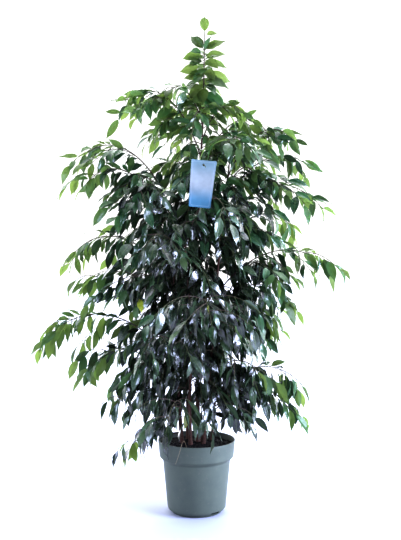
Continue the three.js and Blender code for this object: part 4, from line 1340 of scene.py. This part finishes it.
pot_parts = Parts()
pot_parts.add(*turned(rounded(POT_PROFILE, POT_ARC), POT_SIDES, 0, POT_FLOOR))
pot = add_piece("moulded_pot", pot_parts, [pot_finish], ["pot"], smooth_below=POT_EDGE_ANGLE)
print("packed pot height:", round(pot_high[2] / MM, 1), "mm, corners:", pot_parts.count)

# %% Cut the slots and the drains
SLOTS = {"count": 3, "azimuth": -50, "width": 30, "height": 6, "z": 10, "radius": 89, "depth": 30}
DRAINS = {"count": 6, "azimuth": 20, "z": 5, "radius": 50, "hole": 6, "depth": 20, "sides": 32}


def slot_box(bm):
    made = bmesh.ops.create_cube(bm, size=1)
    bmesh.ops.scale(bm, vec=(SLOTS["depth"], SLOTS["width"], SLOTS["height"]), verts=made["verts"])
    return made


def drain_rod(bm):
    radii = {"radius1": DRAINS["hole"], "radius2": DRAINS["hole"]}
    return bmesh.ops.create_cone(bm, cap_ends=True, segments=DRAINS["sides"], depth=DRAINS["depth"], **radii)


def add_cutters(bm, holes, make):
    for i in range(holes["count"]):
        turn = math.radians(holes["azimuth"] + 360 * i / holes["count"])
        for vert in make(bm)["verts"]:
            x, y, z = vert.co.x + holes["radius"], vert.co.y, vert.co.z + holes["z"]
            across, back = x * math.cos(turn) - y * math.sin(turn), x * math.sin(turn) + y * math.cos(turn)
            vert.co = Vector((across, back, z)) * MM


def cut(piece, cutter_mesh):
    cutter = put_in_scene("cutter", cutter_mesh)
    modifier = piece.modifiers.new("holes", "BOOLEAN")
    modifier.object = cutter
    modifier.operation = "DIFFERENCE"
    modifier.solver = "EXACT"
    graph = bpy.context.evaluated_depsgraph_get()
    piece.data = bpy.data.meshes.new_from_object(piece.evaluated_get(graph))
    piece.modifiers.clear()
    bpy.data.objects.remove(cutter)


bm = bmesh.new()
add_cutters(bm, SLOTS, slot_box)
add_cutters(bm, DRAINS, drain_rod)
cutters = bpy.data.meshes.new("cutters")
bm.to_mesh(cutters)
bm.free()
cut(pot, cutters)
pot.data.set_sharp_from_angle(angle=math.radians(POT_EDGE_ANGLE))
print("faces of the cut pot:", len(pot.data.polygons))

# %% [markdown]
# ## The soil
#
# The soil fills the pot to a little below its rim and heaps up round the stems. Its top is a fine round
# grid, raised by noise of three sizes. Loose crumbs and bits of bark lie on it, sunk in by half: small
# rounded stones with a noise of their own, in one mesh with the soil.

# %% Fill the pot with soil
SOIL_EDGE = 115.3
SOIL_HEAP = 9
SOIL_RINGS = 60
SOIL_SIDES = 160
CRUMBS = {"count": 620, "sizes": (1.3, 4.2), "inset": 5, "squash": (0.55, 0.4), "sunk": 0.2, "seed": 33}
CRUMB_NOISE = {"scale": 1.6, "share": 0.45}
LUMPS = ((0.045, 2.6), (0.16, 1.4), (0.45, 0.5))
LUMP_LEVEL = 7.3


def soil_height(x, y):
    radius = math.hypot(x, y) / SOIL_EDGE
    height = SOIL_TOP + SOIL_HEAP * (1 - radius**1.5)
    for scale, amount in LUMPS:
        height += amount * noise.noise(Vector((x * scale, y * scale, LUMP_LEVEL)))
    return height


def add_crumb(parts, draw):
    radius = (SOIL_EDGE - CRUMBS["inset"]) * math.sqrt(next(draw))
    turn = 2 * math.pi * next(draw)
    x, y = radius * math.cos(turn), radius * math.sin(turn)
    size = mix(*CRUMBS["sizes"], next(draw) ** 2)
    squash = CRUMBS["squash"][0] + CRUMBS["squash"][1] * next(draw)
    bm = bmesh.new()
    bmesh.ops.create_icosphere(bm, subdivisions=2, radius=1)
    corners = []
    for vert in bm.verts:
        bump = noise.noise(vert.co * CRUMB_NOISE["scale"] + Vector((x, y, 0)))
        bump = 1 + CRUMB_NOISE["share"] * bump
        height = size * squash * bump * vert.co.z
        corners.append((x + size * bump * vert.co.x, y + size * bump * vert.co.y, height))
    faces = [[vert.index for vert in face.verts] for face in bm.faces]
    bm.free()
    parts.add(np.array(corners) + UP * (soil_height(x, y) + CRUMBS["sunk"] * size), faces)


def build_soil():
    shares = np.arange(1, SOIL_RINGS + 1) / SOIL_RINGS
    profile = [(76, 6.4), (87.4, 15.3), (101.6, 160.3), (112.1, 171.3)]
    profile += [(SOIL_EDGE * share, SOIL_TOP) for share in shares[::-1]]
    corners, faces = turned(profile, SOIL_SIDES, 6.4, SOIL_TOP)
    corners = [(x, y, soil_height(x, y) if z == SOIL_TOP else z) for x, y, z in corners]
    parts = Parts()
    parts.add(corners, faces)
    draw = draws_from(CRUMBS["seed"])
    for _ in range(CRUMBS["count"]):
        add_crumb(parts, draw)
    return add_piece("potting_soil", parts, [soil_finish], ["soil"])


soil = build_soil()
print("soil faces:", len(soil.data.polygons))

# %% [markdown]
# ## The card
#
# The card is cut from coated board, narrower at its foot, with small round corners and a punched hole. It
# bows a little, so its face is split into strips that follow the bow. Its colour is only soft shades of
# blue: pale in the middle, greyer at the head and deeper at the foot, with a plain thin printed frame line.
# All of them are painted darker than the pale board is, a painted shade that tempers the strong lamp on the
# right. Coating makes board smooth and slightly glossy, with an index of about 1.5.

# %% Make the card's material
CARD_LINE = {"inset": 5.0, "fades": (0.9, 0.3)}

card_finish, add, place = start_material("coated_printed_board")
card_place = add("ShaderNodeAttribute", attribute_name="card_place")["Vector"]
_, card_down, edge = add("ShaderNodeSeparateXYZ", {0: card_place})
upper = add("ShaderNodeMapRange", {"Value": card_down, 1: 0.0, 2: 0.42}, interpolation_type="SMOOTHSTEP")
lower = add("ShaderNodeMapRange", {"Value": card_down, 1: 0.5, 2: 0.9}, interpolation_type="SMOOTHSTEP")
# Painted shade: all these blues, and the frame line below, are darker than the board's own pale blue, to
# temper the strong key lamp.
colour = add("ShaderNodeMix", {0: upper[0], 6: "#738a8f", 7: "#8b9292"}, data_type="RGBA")[2]
colour = add("ShaderNodeMix", {0: lower[0], 6: colour, 7: "#4c778a"}, data_type="RGBA")[2]
washes = add("ShaderNodeTexNoise", {"Vector": place, "Scale": 45, "Detail": 3})["Fac"]
wash = add("ShaderNodeMapRange", {"Value": washes, 1: 0.3, 2: 0.7, 3: 0.9, 4: 1.08})[0]
colour = add("ShaderNodeMix", {0: 1.0, 6: colour, 7: wash}, data_type="RGBA", blend_type="MULTIPLY")[2]
off_line = add("ShaderNodeMath", {0: edge, 1: CARD_LINE["inset"]}, operation="SUBTRACT")[0]
off_line = add("ShaderNodeMath", {0: off_line}, operation="ABSOLUTE")[0]
outer, inner = CARD_LINE["fades"]
line_share = add("ShaderNodeMapRange", {"Value": off_line, 1: outer, 2: inner, 3: 0, 4: 0.5})[0]
colour = add("ShaderNodeMix", {0: line_share, 6: colour, 7: "#9aa0a8"}, data_type="RGBA")[2]
fibre = add("ShaderNodeTexNoise", {"Vector": place, "Scale": 900, "Detail": 2})["Fac"]
bump = add("ShaderNodeBump", {"Height": fibre, "Strength": 0.15, "Distance": 0.0002})[0]
gloss = add("ShaderNodeMapRange", {"Value": washes, 3: 0.3, 4: 0.42})[0]
surface = {"Base Color": colour, "Roughness": gloss, "IOR": 1.5, "Normal": bump}
board = add("ShaderNodeBsdfPrincipled", surface)
add("ShaderNodeOutputMaterial", {"Surface": board[0]})
print("card material nodes:", len(card_finish.node_tree.nodes))

# %% Outline the card
CARD_ARC = 6


def card_outline():
    head, foot, corner = CARD["hole_drop"], CARD["hole_drop"] - CARD["height"], CARD["corner"]
    wide, narrow = CARD["top_width"] / 2, CARD["foot_width"] / 2
    corners = [(narrow, foot, corner), (wide, head, corner), (-wide, head, corner), (-narrow, foot, corner)]
    return rounded([corners[-1], *corners, corners[0]], CARD_ARC)[1:-1]


def edge_distance(x, z):
    share = (CARD["hole_drop"] - z) / CARD["height"]
    half = mix(CARD["top_width"], CARD["foot_width"], share) / 2
    return min(half - abs(x), CARD["hole_drop"] - z, z - CARD["hole_drop"] + CARD["height"])


print("corners of the card's outline:", len(card_outline()))

# %% Cut the card
CARD_COLUMNS = 18
CARD_ROWS = 34
HOLE_SIDES = 32


def build_card():
    bm = bmesh.new()
    around = np.arange(HOLE_SIDES) * 2 * np.pi / HOLE_SIDES
    hole = [(CARD["hole_radius"] * math.sin(a), CARD["hole_radius"] * math.cos(a)) for a in around]
    edges = []
    for rim in (card_outline(), hole):
        verts = [bm.verts.new((x, -CARD["thickness"] / 2, z)) for x, z in rim]
        edges += [bm.edges.new((a, b)) for a, b in zip(verts, verts[1:] + verts[:1])]
    bmesh.ops.triangle_fill(bm, use_beauty=True, use_dissolve=False, edges=edges)
    columns = [CARD["top_width"] * (i / CARD_COLUMNS - 0.5) for i in range(1, CARD_COLUMNS)]
    rows = [CARD["hole_drop"] - CARD["height"] * i / CARD_ROWS for i in range(1, CARD_ROWS)]
    cuts = [((x, 0, 0), (1, 0, 0)) for x in columns] + [((0, 0, z), (0, 0, 1)) for z in rows]
    for place, normal in cuts:
        bmesh.ops.bisect_plane(bm, geom=[*bm.verts, *bm.edges, *bm.faces], plane_co=place, plane_no=normal)
    grown = bmesh.ops.extrude_face_region(bm, geom=list(bm.faces))
    back = [item for item in grown["geom"] if isinstance(item, bmesh.types.BMVert)]
    bmesh.ops.translate(bm, vec=(0, CARD["thickness"], 0), verts=back)
    bmesh.ops.recalc_face_normals(bm, faces=bm.faces)
    flat = np.array([vert.co for vert in bm.verts])
    faces = [[vert.index for vert in face.verts] for face in bm.faces]
    bm.free()
    return flat, faces


print("faces of the flat card:", len(build_card()[1]))

# %% Hang the card
CARD_BOW = 2.2
CARD_EDGE_ANGLE = 40
TWIG_AT_HOOK = mix(*TWIG_RADIUS, CARD["hook_share"])
SEAT_GAP = 0.3
PLAIN_HOLE_SIDES = 10


def hang_card():
    flat, faces = build_card()
    x, y, z = flat.T
    bowed = y - CARD_BOW * (2 * x / CARD["top_width"]) ** 2
    tilt = math.radians(CARD["tilt"])
    drop = CARD["hole_radius"] * math.cos(math.pi / PLAIN_HOLE_SIDES) - TWIG_AT_HOOK - SEAT_GAP
    across = x * math.cos(tilt) + z * math.sin(tilt)
    corners = np.stack([across, bowed, z * math.cos(tilt) - x * math.sin(tilt)], 1)
    parts = Parts()
    parts.add(corners + hook - UP * drop, faces)
    card = add_piece("hanging_card", parts, [card_finish], ["card"], smooth_below=CARD_EDGE_ANGLE)
    down = (CARD["hole_drop"] - z) / CARD["height"]
    place = np.stack([x, down, [edge_distance(a, b) for a, b in zip(x, z)]], 1)
    write_values(card.data, "card_place", place)
    return card


card = hang_card()
print("card corners:", len(card.data.vertices))

# %% [markdown]
# ## A dry strand
#
# One dry stalk, left from an old leaf or a blade of grass, lies over the front of the rim. It is a long thin
# rod whose line is given: out of the soil, over the rim and down outside the collar.

# %% Lay the dry strand
STRAND_LINE = np.array([(-30, -60, 206), (-42, -96, 262), (-40, -130, 228), (-62, -122, 172)], float)
STRAND = {"steps": 40, "sides": 8, "radii": (0.7, 0.4)}

straw_finish, add, place = start_material("dry_grass_stalk")
patches = add("ShaderNodeTexNoise", {"Vector": place, "Scale": 120, "Detail": 4})["Fac"]
colour = add("ShaderNodeMix", {0: patches, 6: "#66563f", 7: "#b0a180"}, data_type="RGBA")[2]
straw = add("ShaderNodeBsdfPrincipled", {"Base Color": colour, "Roughness": 0.7, "IOR": 1.5})
add("ShaderNodeOutputMaterial", {"Surface": straw[0]})

parts = Parts()
line = curve_points(STRAND_LINE, np.linspace(0, 1, STRAND["steps"]))
parts.add_rod(line, np.linspace(*STRAND["radii"], STRAND["steps"]), STRAND["sides"])
add_piece("dry_strand", parts, [straw_finish])
print("strand length:", round(curve_length(STRAND_LINE)), "mm")

# %% [markdown]
# ## Measure the size
#
# The finer plant must keep within the imported model's box, give or take a few millimetres. The last line
# prints how far it reaches beyond that box on each side, in millimetres.

# %% Measure the plant
grown_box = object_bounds()
beyond = [*(model_box[0] - grown_box[0]), *(grown_box[1] - model_box[1])]
print("grown beyond the model, in mm:", [round(x / MM, 1) for x in beyond])
